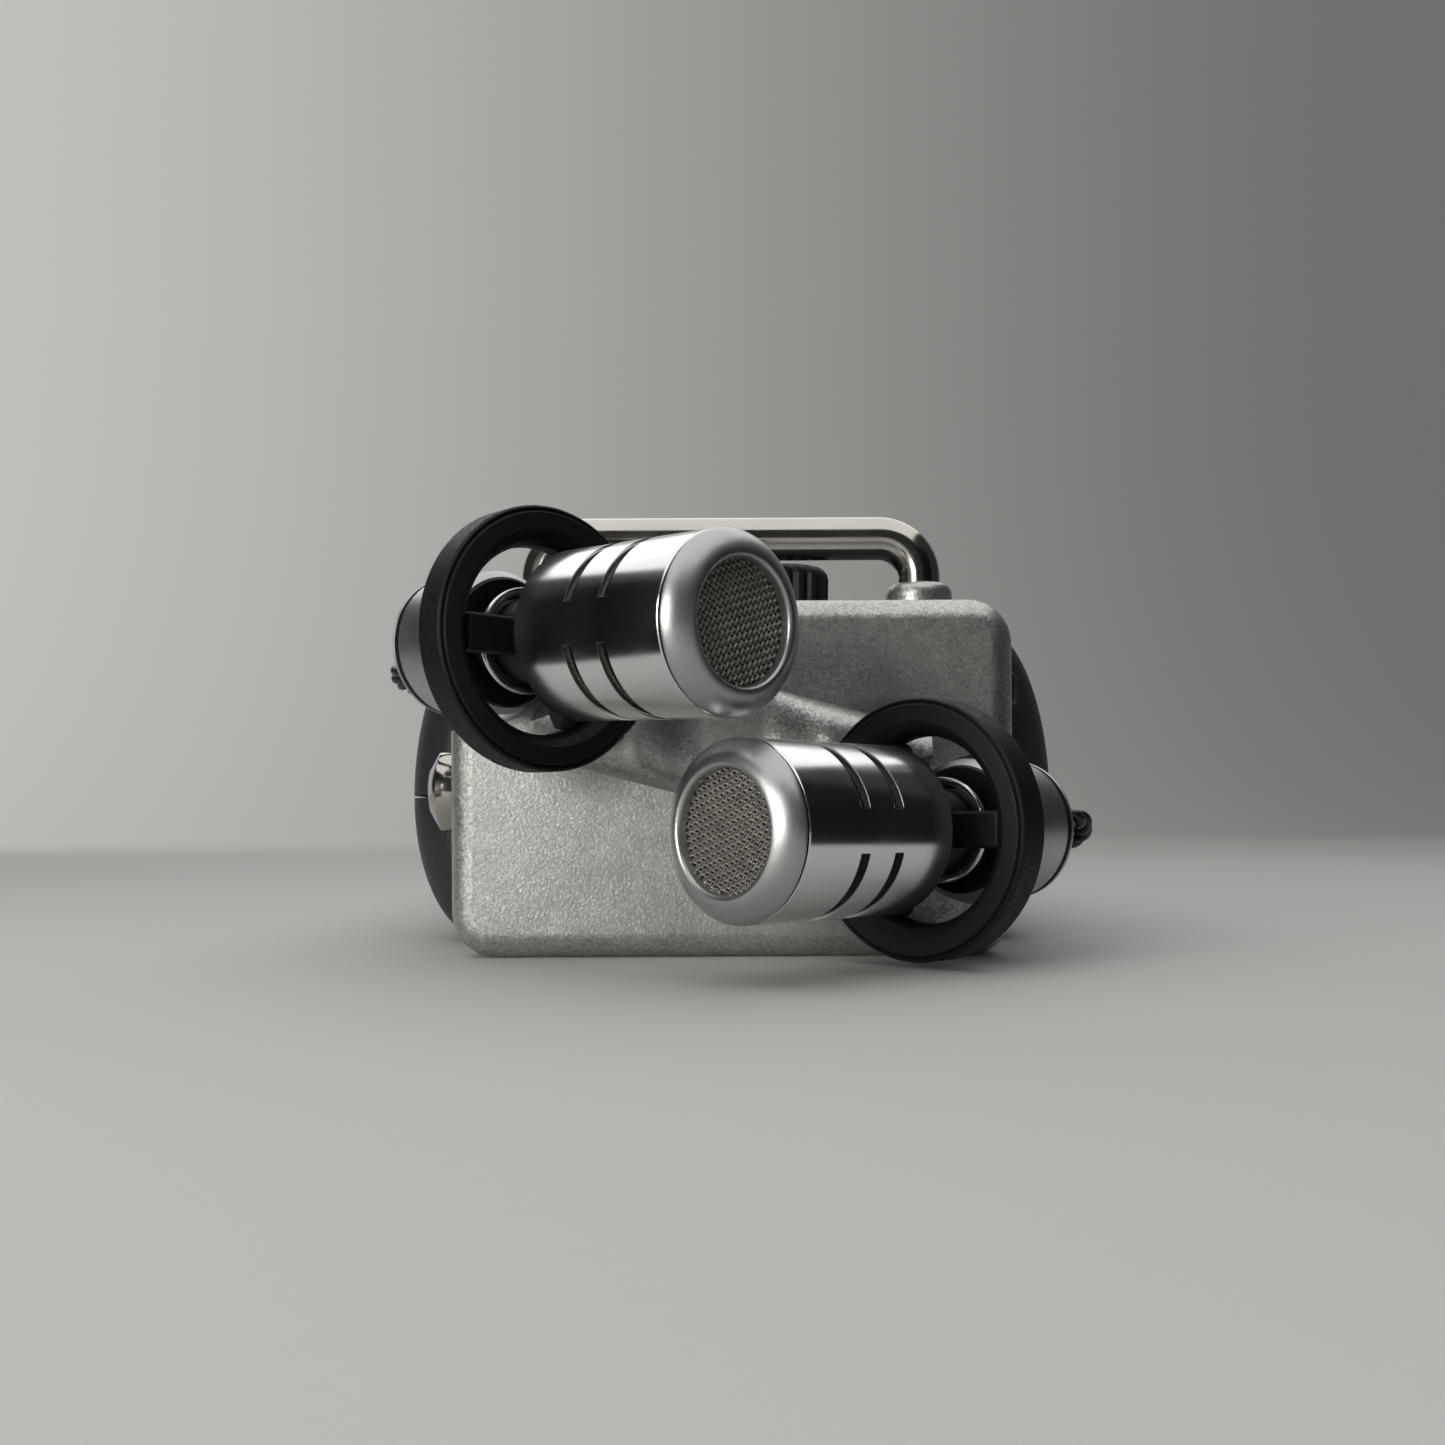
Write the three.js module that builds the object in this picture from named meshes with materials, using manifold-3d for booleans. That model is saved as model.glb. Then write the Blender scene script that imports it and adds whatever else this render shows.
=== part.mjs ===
// Handheld stereo audio recorder, lying on its back with the display side up.
// Millimetres, +Z up. X is the width, +X to the right of someone facing the microphones,
// and Y runs from the crossed microphones (-Y) to the input sockets (+Y).
// Y = 0 is the front face of the microphone capsule while the parts are laid out;
// the last lines move the whole recorder so that its base centre is the origin.

import * as THREE from 'three';
import { mergeVertices } from 'three/addons/utils/BufferGeometryUtils.js';
import Module from 'manifold-3d';

const wasm = await Module();
wasm.setup();

// ---------------------------------------------------------------- driving sizes

const GAP = 0.3;                 // between neighbouring pieces
const WALL = 1.9;                // moulded shells

const CAPSULE_HALF_WIDTH = 25.4;
const CAPSULE_HEIGHT = 32.2;
const CAPSULE_DEPTH = 15.2;
const CAPSULE_CORNER = 4;
const CAPSULE_FRONT_ROUND = 2.3;
const SCOOP_RADIUS = 7.1;        // hollow in the capsule behind each microphone

const BODY_FRONT = CAPSULE_DEPTH + 0.4;
const BODY_BACK = 201.6;
const BODY_TOP = 32.8;
const SEAM_HEIGHT = 15;        // where the two half shells meet, at the widest level
const BODY_HALF_WIDTH = 33.4;

const MIC_X = 14.6;              // front centre of each suspension ring
const MIC_Y = -10;
const LEFT_MIC_Z = 27.2;
const RIGHT_MIC_Z = 11.35;
const MIC_ANGLE = THREE.MathUtils.degToRad(135);
const LEFT_DROOP = THREE.MathUtils.degToRad(2.6);
const LEFT_ADVANCE = 0.15;       // how far each microphone sits forward in its suspension
const RIGHT_ADVANCE = -0.35;
const RING_OUTER = 10.9;
const RING_INNER = 7.8;
const RING_WIDTH = 3.5;
const BARREL_RADIUS = 6.8;

const BAR_RADIUS = 2.2;
const BAR_LEG_X = 19.4;
const BAR_Y = 20;
const BAR_AXIS_Z = 41.45;
const BAR_BEND = 4.1;
const FOOT_TOP = 36.6;

const KNOB_X = 5.75;
const KNOB_Y = 26.4;
const KNOB_RADIUS = 4.7;
const KNOB_TOP = 39.5;

const CELL_RADIUS = 7.1;
const CELL_LENGTH = 50.5;
const CELL_X = 7.6;
const CELL_FRONT = 106;
const CELL_Z = 10.2;

const SOCKET_X = 14.2;
const SOCKET_Z = 16.4;
const SOCKET_RADIUS = 12;

const BOARD_Z = 21.5;

const ROUND = 24;                // facets round a turned piece
const FINE_ROUND = 28;

// ---------------------------------------------------------------- finishes

function finish(color, roughness, metalness) {
  return new THREE.MeshStandardMaterial({ color, roughness, metalness });
}

const silverPaint = () => finish(0xa8aaa2, 0.45, 0.6);
const polishedMetal = () => finish(0xc4c6c6, 0.18, 1);
const satinMetal = () => finish(0x8c908f, 0.4, 1);
const nickel = () => finish(0x8f8a80, 0.15, 1);
const wireMesh = () => finish(0x6f6a62, 0.5, 0.8);
const blackRubber = () => finish(0x0e0f11, 0.6, 0);
const blackPlastic = () => finish(0x17181a, 0.55, 0);
const darkGlass = () => finish(0x20262a, 0.1, 0);
const greenBoard = () => finish(0x1f5a34, 0.5, 0);

// ---------------------------------------------------------------- solid helpers

function toSolid(geometry) {
  const bare = geometry.clone();
  bare.deleteAttribute('normal');
  bare.deleteAttribute('uv');
  const merged = mergeVertices(bare, 1e-4);
  return new wasm.Manifold(new wasm.Mesh({
    numProp: 3,
    vertProperties: new Float32Array(merged.attributes.position.array),
    triVerts: new Uint32Array(merged.index.array),
  }));
}

function toGeometry(solid) {
  const mesh = solid.getMesh();
  const geometry = new THREE.BufferGeometry();
  geometry.setAttribute('position', new THREE.BufferAttribute(mesh.vertProperties, 3));
  geometry.setIndex(new THREE.BufferAttribute(mesh.triVerts, 1));
  return geometry;
}

function cut(base, ...tools) {
  return toGeometry(tools.reduce((solid, tool) => solid.subtract(toSolid(tool)), toSolid(base)));
}

function join(base, ...others) {
  return toGeometry(others.reduce((solid, other) => solid.add(toSolid(other)), toSolid(base)));
}

function common(base, other) {
  return toGeometry(toSolid(base).intersect(toSolid(other)));
}

// A box between two corners.
function block(x0, x1, y0, y1, z0, z1) {
  const geometry = new THREE.BoxGeometry(x1 - x0, y1 - y0, z1 - z0);
  return geometry.translate((x0 + x1) / 2, (y0 + y1) / 2, (z0 + z1) / 2);
}

// A turned piece about Z: profile points are [radius, height] and run up the outside.
function turned(profile, segments) {
  const points = profile.map(([radius, height]) => new THREE.Vector2(radius, height));
  return new THREE.LatheGeometry(points, segments).rotateX(Math.PI / 2);
}

// A turned piece about Y, for the microphones: profile points are [radius, distance forward].
function turnedForward(profile, segments) {
  const points = profile.map(([radius, forward]) => new THREE.Vector2(radius, forward));
  return new THREE.LatheGeometry(points, segments);
}

function disc(radius, low, high, segments = ROUND) {
  return turned([[0, low], [radius, low], [radius, high], [0, high]], segments);
}

function tubeProfile(inner, outer, low, high) {
  return [[inner, low], [outer, low], [outer, high], [inner, high], [inner, low]];
}

// A closed body through rings of points: rings run towards +Y and each ring runs the same way.
function loft(rings) {
  const count = rings[0].length;
  const positions = [];
  const index = [];
  for (const ring of rings) {
    for (const point of ring) {
      positions.push(point.x, point.y, point.z);
    }
  }
  for (let station = 0; station + 1 < rings.length; station += 1) {
    for (let k = 0; k < count; k += 1) {
      const next = (k + 1) % count;
      const a = station * count + k;
      const b = station * count + next;
      index.push(a, b, a + count, b, b + count, a + count);
    }
  }
  for (const [ring, flip] of [[0, true], [rings.length - 1, false]]) {
    const middle = rings[ring].reduce((sum, p) => sum.add(p), new THREE.Vector3()).divideScalar(count);
    const hub = positions.length / 3;
    positions.push(middle.x, middle.y, middle.z);
    for (let k = 0; k < count; k += 1) {
      const a = ring * count + k;
      const b = ring * count + ((k + 1) % count);
      index.push(...(flip ? [hub, b, a] : [hub, a, b]));
    }
  }
  const geometry = new THREE.BufferGeometry();
  geometry.setAttribute('position', new THREE.Float32BufferAttribute(positions, 3));
  geometry.setIndex(index);
  return toSolid(geometry).volume() < 0 ? flipped(geometry) : geometry;
}

function flipped(geometry) {
  const index = geometry.index.array;
  for (let k = 0; k < index.length; k += 3) {
    [index[k], index[k + 1]] = [index[k + 1], index[k]];
  }
  return geometry;
}

// Rounded rectangle in XZ at one Y, as a ring of points.
function roundedRing(halfWidth, low, high, corner, y, steps = 6) {
  const ring = [];
  const centres = [
    [halfWidth - corner, high - corner, 0],
    [-halfWidth + corner, high - corner, Math.PI / 2],
    [-halfWidth + corner, low + corner, Math.PI],
    [halfWidth - corner, low + corner, Math.PI * 1.5],
  ];
  for (const [x, z, start] of centres) {
    for (let k = 0; k <= steps; k += 1) {
      const angle = start + (k / steps) * Math.PI / 2;
      ring.push(new THREE.Vector3(x + corner * Math.cos(angle), y, z + corner * Math.sin(angle)));
    }
  }
  return ring;
}

// A flat plate with rounded corners, lying in XY between two heights.
function roundedPlate(halfX, halfY, corner, low, high, steps = 4) {
  const shape = new THREE.Shape();
  shape.absarc(halfX - corner, halfY - corner, corner, 0, Math.PI / 2);
  shape.absarc(-halfX + corner, halfY - corner, corner, Math.PI / 2, Math.PI);
  shape.absarc(-halfX + corner, -halfY + corner, corner, Math.PI, Math.PI * 1.5);
  shape.absarc(halfX - corner, -halfY + corner, corner, Math.PI * 1.5, Math.PI * 2);
  shape.closePath();
  const options = { depth: high - low, bevelEnabled: false, curveSegments: steps };
  const plate = new THREE.ExtrudeGeometry(shape, options);
  return plate.translate(0, 0, low);
}

function place(parent, name, geometry, material, x = 0, y = 0, z = 0) {
  const mesh = new THREE.Mesh(geometry, material);
  mesh.name = name;
  mesh.position.set(x, y, z);
  parent.add(mesh);
  return mesh;
}

const recorder = new THREE.Group();

// ---------------------------------------------------------------- microphone capsule housing

// A cylinder along one microphone's axis, reaching back from the ring and past the capsule.
function micBore(side, z, radius, front, back) {
  const bore = turnedForward([[0, -back], [radius, -back], [radius, -front], [0, -front]], FINE_ROUND);
  bore.rotateZ(side * MIC_ANGLE);
  return bore.translate(side * MIC_X, MIC_Y, z);
}

function capsuleOuter() {
  const rings = [];
  const steps = 5;
  for (let k = 0; k <= steps; k += 1) {
    const angle = (k / steps) * Math.PI / 2;
    const inset = CAPSULE_FRONT_ROUND * (1 - Math.sin(angle));
    const y = CAPSULE_FRONT_ROUND * (1 - Math.cos(angle));
    const corner = CAPSULE_CORNER - inset * 0.8;
    rings.push(roundedRing(CAPSULE_HALF_WIDTH - inset, inset, CAPSULE_HEIGHT - inset, corner, y));
  }
  rings.push(roundedRing(CAPSULE_HALF_WIDTH, 0, CAPSULE_HEIGHT, CAPSULE_CORNER, CAPSULE_DEPTH));
  return loft(rings);
}

// The raised diagonal bridge on the face: low in the middle, swelling up into both ring seats.
const BRIDGE_LOW = 0.45;
const BRIDGE_RISE = 2.9;
const BRIDGE_HALF_HEIGHT = 5.85;
const BRIDGE_SLOPE = -0.27;
const BRIDGE_MIDDLE = 19.2;
const BRIDGE_END = 17.5;

function bridgeHeight(x) {
  return BRIDGE_LOW + BRIDGE_RISE * THREE.MathUtils.smoothstep(Math.abs(x), 2.6, 9);
}

function bridge() {
  const rings = [];
  const stations = 18;
  const across = 10;
  for (let k = 0; k <= stations; k += 1) {
    const x = -BRIDGE_END + (2 * BRIDGE_END * k) / stations;
    const middle = BRIDGE_MIDDLE + BRIDGE_SLOPE * x;
    const ring = [new THREE.Vector3(x, 1, middle - BRIDGE_HALF_HEIGHT)];
    for (let j = 0; j <= across; j += 1) {
      const v = -1 + (2 * j) / across;
      const crown = Math.pow(1 - Math.pow(Math.abs(v), 5), 0.5);
      ring.push(new THREE.Vector3(x, 0.3 - (bridgeHeight(x) + 0.3) * crown, middle + v * BRIDGE_HALF_HEIGHT));
    }
    ring.push(new THREE.Vector3(x, 1, middle + BRIDGE_HALF_HEIGHT));
    rings.push(ring);
  }
  return loft(rings);
}

const JACK_Y = 8;
const JACK_Z = 15.2;
const DIAL_X = 22.4;
const DIAL_Y = 8.2;
const DIAL_Z = 24.6;
const DIAL_RADIUS = 4.7;
const LEAD_Y = 12.6;
const LEFT_LEAD_Z = 25.2;
const RIGHT_LEAD_Z = 9.9;
const COVER_THICKNESS = 1.8;

function capsuleShell() {
  let cavity = block(
    -CAPSULE_HALF_WIDTH + WALL, CAPSULE_HALF_WIDTH - WALL,
    WALL + 0.4, CAPSULE_DEPTH + 1,
    WALL, CAPSULE_HEIGHT - WALL,
  );
  cavity = cut(
    cavity,
    micBore(-1, LEFT_MIC_Z + 0.3, SCOOP_RADIUS + 1.6, 0, 24),
    micBore(1, RIGHT_MIC_Z, SCOOP_RADIUS + 1.6, 0, 24),
  );
  const jackHole = disc(3.2, 0, 8).rotateY(-Math.PI / 2).translate(-CAPSULE_HALF_WIDTH + 4, JACK_Y, JACK_Z);
  const dialSlot = block(14, 30, DIAL_Y - 6.1, DIAL_Y + 6.1, DIAL_Z - 1.9, DIAL_Z + 1.9);
  const solid = join(capsuleOuter(), bridge());
  return cut(
    solid,
    cavity,
    micBore(-1, LEFT_MIC_Z + 0.3, SCOOP_RADIUS, 0, 24),
    micBore(1, RIGHT_MIC_Z, SCOOP_RADIUS, 0, 24),
    micBore(-1, LEFT_MIC_Z, RING_OUTER + GAP, -6, RING_WIDTH + GAP),
    micBore(1, RIGHT_MIC_Z, RING_OUTER + GAP, -6, RING_WIDTH + GAP),
    jackHole,
    dialSlot,
  );
}

place(recorder, 'capsule_shell', capsuleShell(), silverPaint());

// The plate that closes the capsule's open back, with a window for the connector.
function capsuleCover() {
  const front = CAPSULE_DEPTH - COVER_THICKNESS;
  const inset = WALL + GAP;
  const plate = loft([
    roundedRing(CAPSULE_HALF_WIDTH - inset, inset, CAPSULE_HEIGHT - inset, 2, front, 3),
    roundedRing(CAPSULE_HALF_WIDTH - inset, inset, CAPSULE_HEIGHT - inset, 2, CAPSULE_DEPTH, 3),
  ]);
  return cut(
    plate,
    block(-9.5, 9.5, front - 1, CAPSULE_DEPTH + 1, 12, 19),
    micBore(-1, LEFT_MIC_Z + 0.3, SCOOP_RADIUS + 1.6 + GAP, 0, 26),
    micBore(1, RIGHT_MIC_Z, SCOOP_RADIUS + 1.6 + GAP, 0, 26),
  );
}

place(recorder, 'capsule_rear_cover', capsuleCover(), blackPlastic());

// Nut of the line input socket: a cone face running up to the bore.
function jackNut() {
  const profile = [[1.8, -6], [2.9, -6], [2.9, GAP], [3.8, GAP], [3.8, 2], [2, 3], [1.8, 3], [1.8, -6]];
  return turned(profile, 24).rotateY(-Math.PI / 2);
}

place(recorder, 'jack_nut', jackNut(), nickel(), -CAPSULE_HALF_WIDTH, JACK_Y, JACK_Z);

// Thumb dial for the microphones' level, standing a little out of the right wall.
function levelDial() {
  const teeth = 32;
  const shape = new THREE.Shape();
  for (let k = 0; k < teeth; k += 1) {
    const radius = k % 2 === 0 ? DIAL_RADIUS : DIAL_RADIUS - 0.35;
    const angle = (k / teeth) * Math.PI * 2;
    shape[k === 0 ? 'moveTo' : 'lineTo'](radius * Math.cos(angle), radius * Math.sin(angle));
  }
  shape.closePath();
  return new THREE.ExtrudeGeometry(shape, { depth: 3, bevelEnabled: false }).translate(0, 0, -1.5);
}

place(recorder, 'mic_level_dial', levelDial(), blackPlastic(), DIAL_X, DIAL_Y, DIAL_Z);

// ---------------------------------------------------------------- microphones

// Rubber suspension ring: flat lit band in front, a small step at the rim, a bore that tapers in.
function suspensionRing() {
  const profile = [
    [RING_INNER, -RING_WIDTH + 0.5],
    [RING_INNER + 0.6, -RING_WIDTH],
    [RING_OUTER - 0.7, -RING_WIDTH],
    [RING_OUTER, -RING_WIDTH + 0.7],
    [RING_OUTER, -0.75],
    [RING_OUTER - 0.6, -0.45],
    [RING_OUTER - 0.75, 0],
    [RING_INNER + 1.1, 0],
    [RING_INNER + 0.35, -0.7],
    [RING_INNER, -1.6],
    [RING_INNER, -RING_WIDTH + 0.5],
  ];
  return turnedForward(profile, FINE_ROUND);
}

// Slot of half a turn through the barrel wall, leaving a bridge on each level side.
function barrelSlot(forward) {
  const halfWidth = 0.52;
  const bridgeHalf = THREE.MathUtils.degToRad(14);
  const [low, high] = [forward - halfWidth, forward + halfWidth];
  const profile = tubeProfile(BARREL_RADIUS - 1.5, BARREL_RADIUS + 1, low, high);
  const slot = turnedForward(profile, ROUND);
  const reach = (BARREL_RADIUS + 1) * 1.2;
  const half = reach * Math.sin(bridgeHalf);
  return cut(slot, block(-reach, reach, forward - 1, forward + 1, -half, half));
}

function micBarrel() {
  const inner = BARREL_RADIUS - 0.6;
  const profile = [
    [inner - 1.2, 3.7], [BARREL_RADIUS - 0.25, 3.7], [BARREL_RADIUS, 3.95], [BARREL_RADIUS, 20],
    [inner, 20], [inner, 4.9], [inner - 1.2, 4.9], [inner - 1.2, 3.7],
  ];
  return cut(turnedForward(profile, ROUND), barrelSlot(10.1), barrelSlot(14));
}

// Satin front ring that rounds in from the barrel to the mesh.
function micBezel() {
  const profile = [
    [6.2, 20.3], [BARREL_RADIUS, 20.3], [6.65, 20.75], [6.3, 21.2], [5.8, 21.6], [5.3, 21.95],
    [4.9, 22.1], [4.6, 21.95], [4.55, 21.5], [6.2, 20.9], [6.2, 20.3],
  ];
  return turnedForward(profile, ROUND);
}

// Woven wire cup: the disc seen in front and the lining seen through the slots.
function micGrille() {
  const outer = BARREL_RADIUS - 0.9;
  const profile = [
    [0, 20.3], [outer - 0.4, 20.1], [outer - 0.4, 5.5], [outer, 5.5], [outer, 20.65], [4.2, 21], [0, 21.1],
  ];
  return turnedForward(profile, ROUND);
}

// Black neck of the microphone, with the rubber arms that reach out to the suspension ring.
function micNeck(side) {
  const neck = turnedForward([[0, -6.2], [3.5, -6.2], [3.5, 3], [4.7, 3.2], [4.7, 8], [0, 8]], 24);
  const arms = [];
  for (let k = 0; k < 3; k += 1) {
    const angle = (k / 3) * Math.PI * 2;
    const arm = block(3, RING_INNER - GAP, -3, -0.9, -1.5, 1.5).rotateY(angle);
    arms.push(side < 0 ? arm : arm.rotateY(Math.PI));
  }
  return join(neck, ...arms);
}

function micCollar() {
  return turnedForward(tubeProfile(3.5 + GAP, 4.45, -4.3, -3.7), ROUND);
}

function micHousing() {
  const profile = [[0, -13.9], [6.1, -13.9], [6.1, -7.2], [5.6, -6.5], [0, -6.5]];
  return turnedForward(profile, ROUND);
}

function micCap() {
  return turnedForward([[0, -15.8], [2.8, -15.7], [5, -15.4], [6, -15], [6.1, -14.5], [0, -14.5]], ROUND);
}

const MICROPHONES = [
  [-1, 'left', LEFT_MIC_Z, LEFT_DROOP, LEFT_ADVANCE],
  [1, 'right', RIGHT_MIC_Z, 0, RIGHT_ADVANCE],
];

for (const [side, label, z, droop, advance] of MICROPHONES) {
  const seat = new THREE.Group();
  seat.position.set(side * MIC_X, MIC_Y, z);
  seat.rotation.z = side * MIC_ANGLE;
  recorder.add(seat);
  place(seat, `ring_${label}`, suspensionRing(), blackRubber());

  const mic = new THREE.Group();
  mic.rotation.x = -droop;
  mic.position.set(0, advance * Math.cos(droop), -advance * Math.sin(droop));
  seat.add(mic);
  place(mic, `mic_${label}_barrel`, micBarrel(), polishedMetal());
  place(mic, `mic_${label}_bezel`, micBezel(), satinMetal());
  place(mic, `mic_${label}_grille`, micGrille(), wireMesh());
  place(mic, `mic_${label}_neck`, micNeck(side), blackRubber());
  place(mic, `mic_${label}_collar`, micCollar(), polishedMetal());
  place(mic, `mic_${label}_housing`, micHousing(), satinMetal());
  place(mic, `mic_${label}_cap`, micCap(), satinMetal());
}

// Signal leads, held at both ends: out of the rear cap, round, and back into the capsule wall.
const LEAD_RADIUS = 1;
const WALL_X = CAPSULE_HALF_WIDTH + GAP;
const LEFT_LEAD = [
  [-26.1, 1.5, 28.1], [-28.6, 3.3, 27.8], [-30.8, 5.8, 26.6], [-31.1, 8.8, 25.7], [-29.2, 11.8, 25.3],
  [-WALL_X, LEAD_Y, LEFT_LEAD_Z],
];
const RIGHT_LEAD = [
  [26.2, 1.6, 11.35], [29.3, 4, 11.9], [32.4, 6.2, 12.3], [33.3, 8.6, 11.1], [32, 11.2, 10],
  [28.8, 12.5, 9.9], [WALL_X, LEAD_Y, RIGHT_LEAD_Z],
];

function lead(route) {
  const curve = new THREE.CatmullRomCurve3(route.map(([x, y, z]) => new THREE.Vector3(x, y, z)));
  const section = new THREE.Shape();
  section.absarc(0, 0, LEAD_RADIUS, 0, Math.PI * 2);
  return new THREE.ExtrudeGeometry(section, { steps: 12, extrudePath: curve, curveSegments: 4 });
}

place(recorder, 'mic_left_lead', lead(LEFT_LEAD), blackRubber());
place(recorder, 'mic_right_lead', lead(RIGHT_LEAD), blackRubber());

// ---------------------------------------------------------------- main unit shells

// One cross-section of the main unit: flat base and top, sides that bulge out to the seam.
function bodyRing(halfWidth, low, high, y, points) {
  const seam = low + (SEAM_HEIGHT / BODY_TOP) * (high - low);
  const flat = halfWidth - 7.8;
  const lower = new THREE.CubicBezierCurve(
    new THREE.Vector2(flat, low), new THREE.Vector2(halfWidth - 3.1, low),
    new THREE.Vector2(halfWidth, seam - 8.2), new THREE.Vector2(halfWidth, seam),
  );
  const upper = new THREE.CubicBezierCurve(
    new THREE.Vector2(halfWidth, seam), new THREE.Vector2(halfWidth, seam + 6.8),
    new THREE.Vector2(halfWidth - 2.3, high), new THREE.Vector2(flat, high),
  );
  const right = [...lower.getPoints(points), ...upper.getPoints(points + 1).slice(1)];
  const left = right.map((point) => new THREE.Vector2(-point.x, point.y)).reverse();
  return [...right, ...left].map((point) => new THREE.Vector3(point.x, y, point.y));
}

// Half-width along the unit: a quick shoulder behind the capsule, then a slight taper.
function bodyHalfWidth(y) {
  const shoulder = Math.min((y - BODY_FRONT) / 8, 1);
  const taper = THREE.MathUtils.smoothstep(y, 60, 190) * 2.6;
  return BODY_HALF_WIDTH - 5.4 * Math.pow(1 - shoulder, 2.4) - taper;
}

function bodySolid(inset, stations, points) {
  const rings = [];
  for (const station of stations) {
    const y = BODY_FRONT + station;
    const fromBack = BODY_BACK - y;
    const backRound = fromBack < 4 ? 2.6 * (1 - Math.sqrt(1 - Math.pow(1 - fromBack / 4, 2))) : 0;
    const frontRound = station < 2 ? 0.9 * Math.pow(1 - station / 2, 2) : 0;
    const drop = backRound * 0.7 + frontRound;
    const halfWidth = bodyHalfWidth(y) - backRound - inset;
    const low = inset + drop;
    const high = BODY_TOP - inset - drop;
    const insideY = THREE.MathUtils.clamp(y, BODY_FRONT + inset, BODY_BACK - inset);
    rings.push(bodyRing(halfWidth, low, high, insideY, points));
  }
  const seen = new Set();
  const distinct = rings.filter((ring) => !seen.has(ring[0].y) && seen.add(ring[0].y));
  return loft(distinct);
}

const outerBody = bodySolid(0, [0, 0.8, 2.2, 4.4, 8, 70, 110, 150, 182, 184.4, 185.6, 186], 5);
const innerBody = bodySolid(WALL, [0, 4.4, 8, 95, 182, 186], 3);
const hollowBody = cut(outerBody, innerBody);

// Round hole straight down through a shell wall.
function holeDown(x, y, radius, low, high) {
  return disc(radius, low, high, 20).translate(x, y, 0);
}

const WINDOW_Y = 73;
const WINDOW_HALF = [17.5, 15];
const TRACK_KEY_Y = 46;
const TRACK_KEY_X = [-15, 0, 15];
const TRACK_KEY_HALF = [5, 2.6];
const RECORD_KEY_Y = 116;
const RECORD_KEY_RADIUS = 6.2;
const ROUND_KEY_RADIUS = 4.4;
const ROUND_KEYS = [
  ['stop_key', -13.5, 104], ['play_key', 13.5, 104], ['rewind_key', -13.5, 127], ['forward_key', 13.5, 127],
];
const CARD_DOOR = { y: 98, z: 19.4, halfY: 14, halfZ: 2.2 };
const WHEEL = { x: 27.2, y: 60, z: 20.6, radius: 6.6, thickness: 3.4 };
const SWITCH = { y: 128, z: 20.4, halfY: 5, halfZ: 1.7 };
const ROCKER = { y: 104, z: 20.4, halfY: 6.2, halfZ: 2 };
const RELEASE = { y: 33, z: 21, halfY: 4.5, halfZ: 2.4 };
const PHONES = { y: 158, z: 17.9 };

const BAY_FRONT = CELL_FRONT - 7;
const BAY_BACK = CELL_FRONT + CELL_LENGTH + 4;
const BAY_HALF_WIDTH = 17;
const TRIPOD_Y = 82;
const SPEAKER = { y: 52, z: 2.3, radius: 9 };

function upperShell() {
  const upper = common(hollowBody, block(-50, 50, 0, 220, SEAM_HEIGHT + GAP / 2, 60));
  const tools = [
    block(-9.4, 9.4, BODY_FRONT - 2, BODY_FRONT + 6, 11, 20),
    roundedPlate(WINDOW_HALF[0] + GAP, WINDOW_HALF[1] + GAP, 1.6, BODY_TOP - 1.1, 60)
      .translate(0, WINDOW_Y, 0),
    roundedPlate(WINDOW_HALF[0] - 2, WINDOW_HALF[1] - 2, 1, 25, 60).translate(0, WINDOW_Y, 0),
    holeDown(0, RECORD_KEY_Y, RECORD_KEY_RADIUS + GAP, 25, 60),
    block(-50, -20, SWITCH.y - 4.6, SWITCH.y + 4.6, SWITCH.z - 1.1, SWITCH.z + 1.1),
    block(-50, -20, ROCKER.y - 6.5, ROCKER.y + 6.5, ROCKER.z - 2.3, ROCKER.z + 2.3),
    block(20, 50, WHEEL.y - 7, WHEEL.y + 7, WHEEL.z - 2.1, WHEEL.z + 2.1),
    disc(2.6 + GAP, 20, 50, 20).rotateY(-Math.PI / 2).translate(0, PHONES.y, PHONES.z),
    block(20, 50, CARD_DOOR.y - CARD_DOOR.halfY - GAP, CARD_DOOR.y + CARD_DOOR.halfY + GAP,
      CARD_DOOR.z - CARD_DOOR.halfZ - GAP, CARD_DOOR.z + CARD_DOOR.halfZ + GAP),
  ];
  for (const side of [-1, 1]) {
    tools.push(holeDown(side * KNOB_X, KNOB_Y, 1.8, 25, 60));
    const socketHole = disc(SOCKET_RADIUS + GAP, 150, 250, ROUND).rotateX(-Math.PI / 2);
    tools.push(socketHole.translate(side * SOCKET_X, 0, SOCKET_Z));
    const reach = side > 0 ? [20, 50] : [-50, -20];
    const hole = [RELEASE.y - RELEASE.halfY - GAP, RELEASE.y + RELEASE.halfY + GAP];
    tools.push(block(...reach, ...hole, RELEASE.z - RELEASE.halfZ - GAP, RELEASE.z + RELEASE.halfZ + GAP));
  }
  for (const x of TRACK_KEY_X) {
    const half = TRACK_KEY_HALF.map((value) => value + GAP);
    tools.push(roundedPlate(half[0], half[1], 1.2, 25, 60).translate(x, TRACK_KEY_Y, 0));
  }
  for (const [, x, y] of ROUND_KEYS) {
    tools.push(holeDown(x, y, ROUND_KEY_RADIUS + GAP, 25, 60));
  }
  return cut(upper, ...tools);
}

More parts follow.
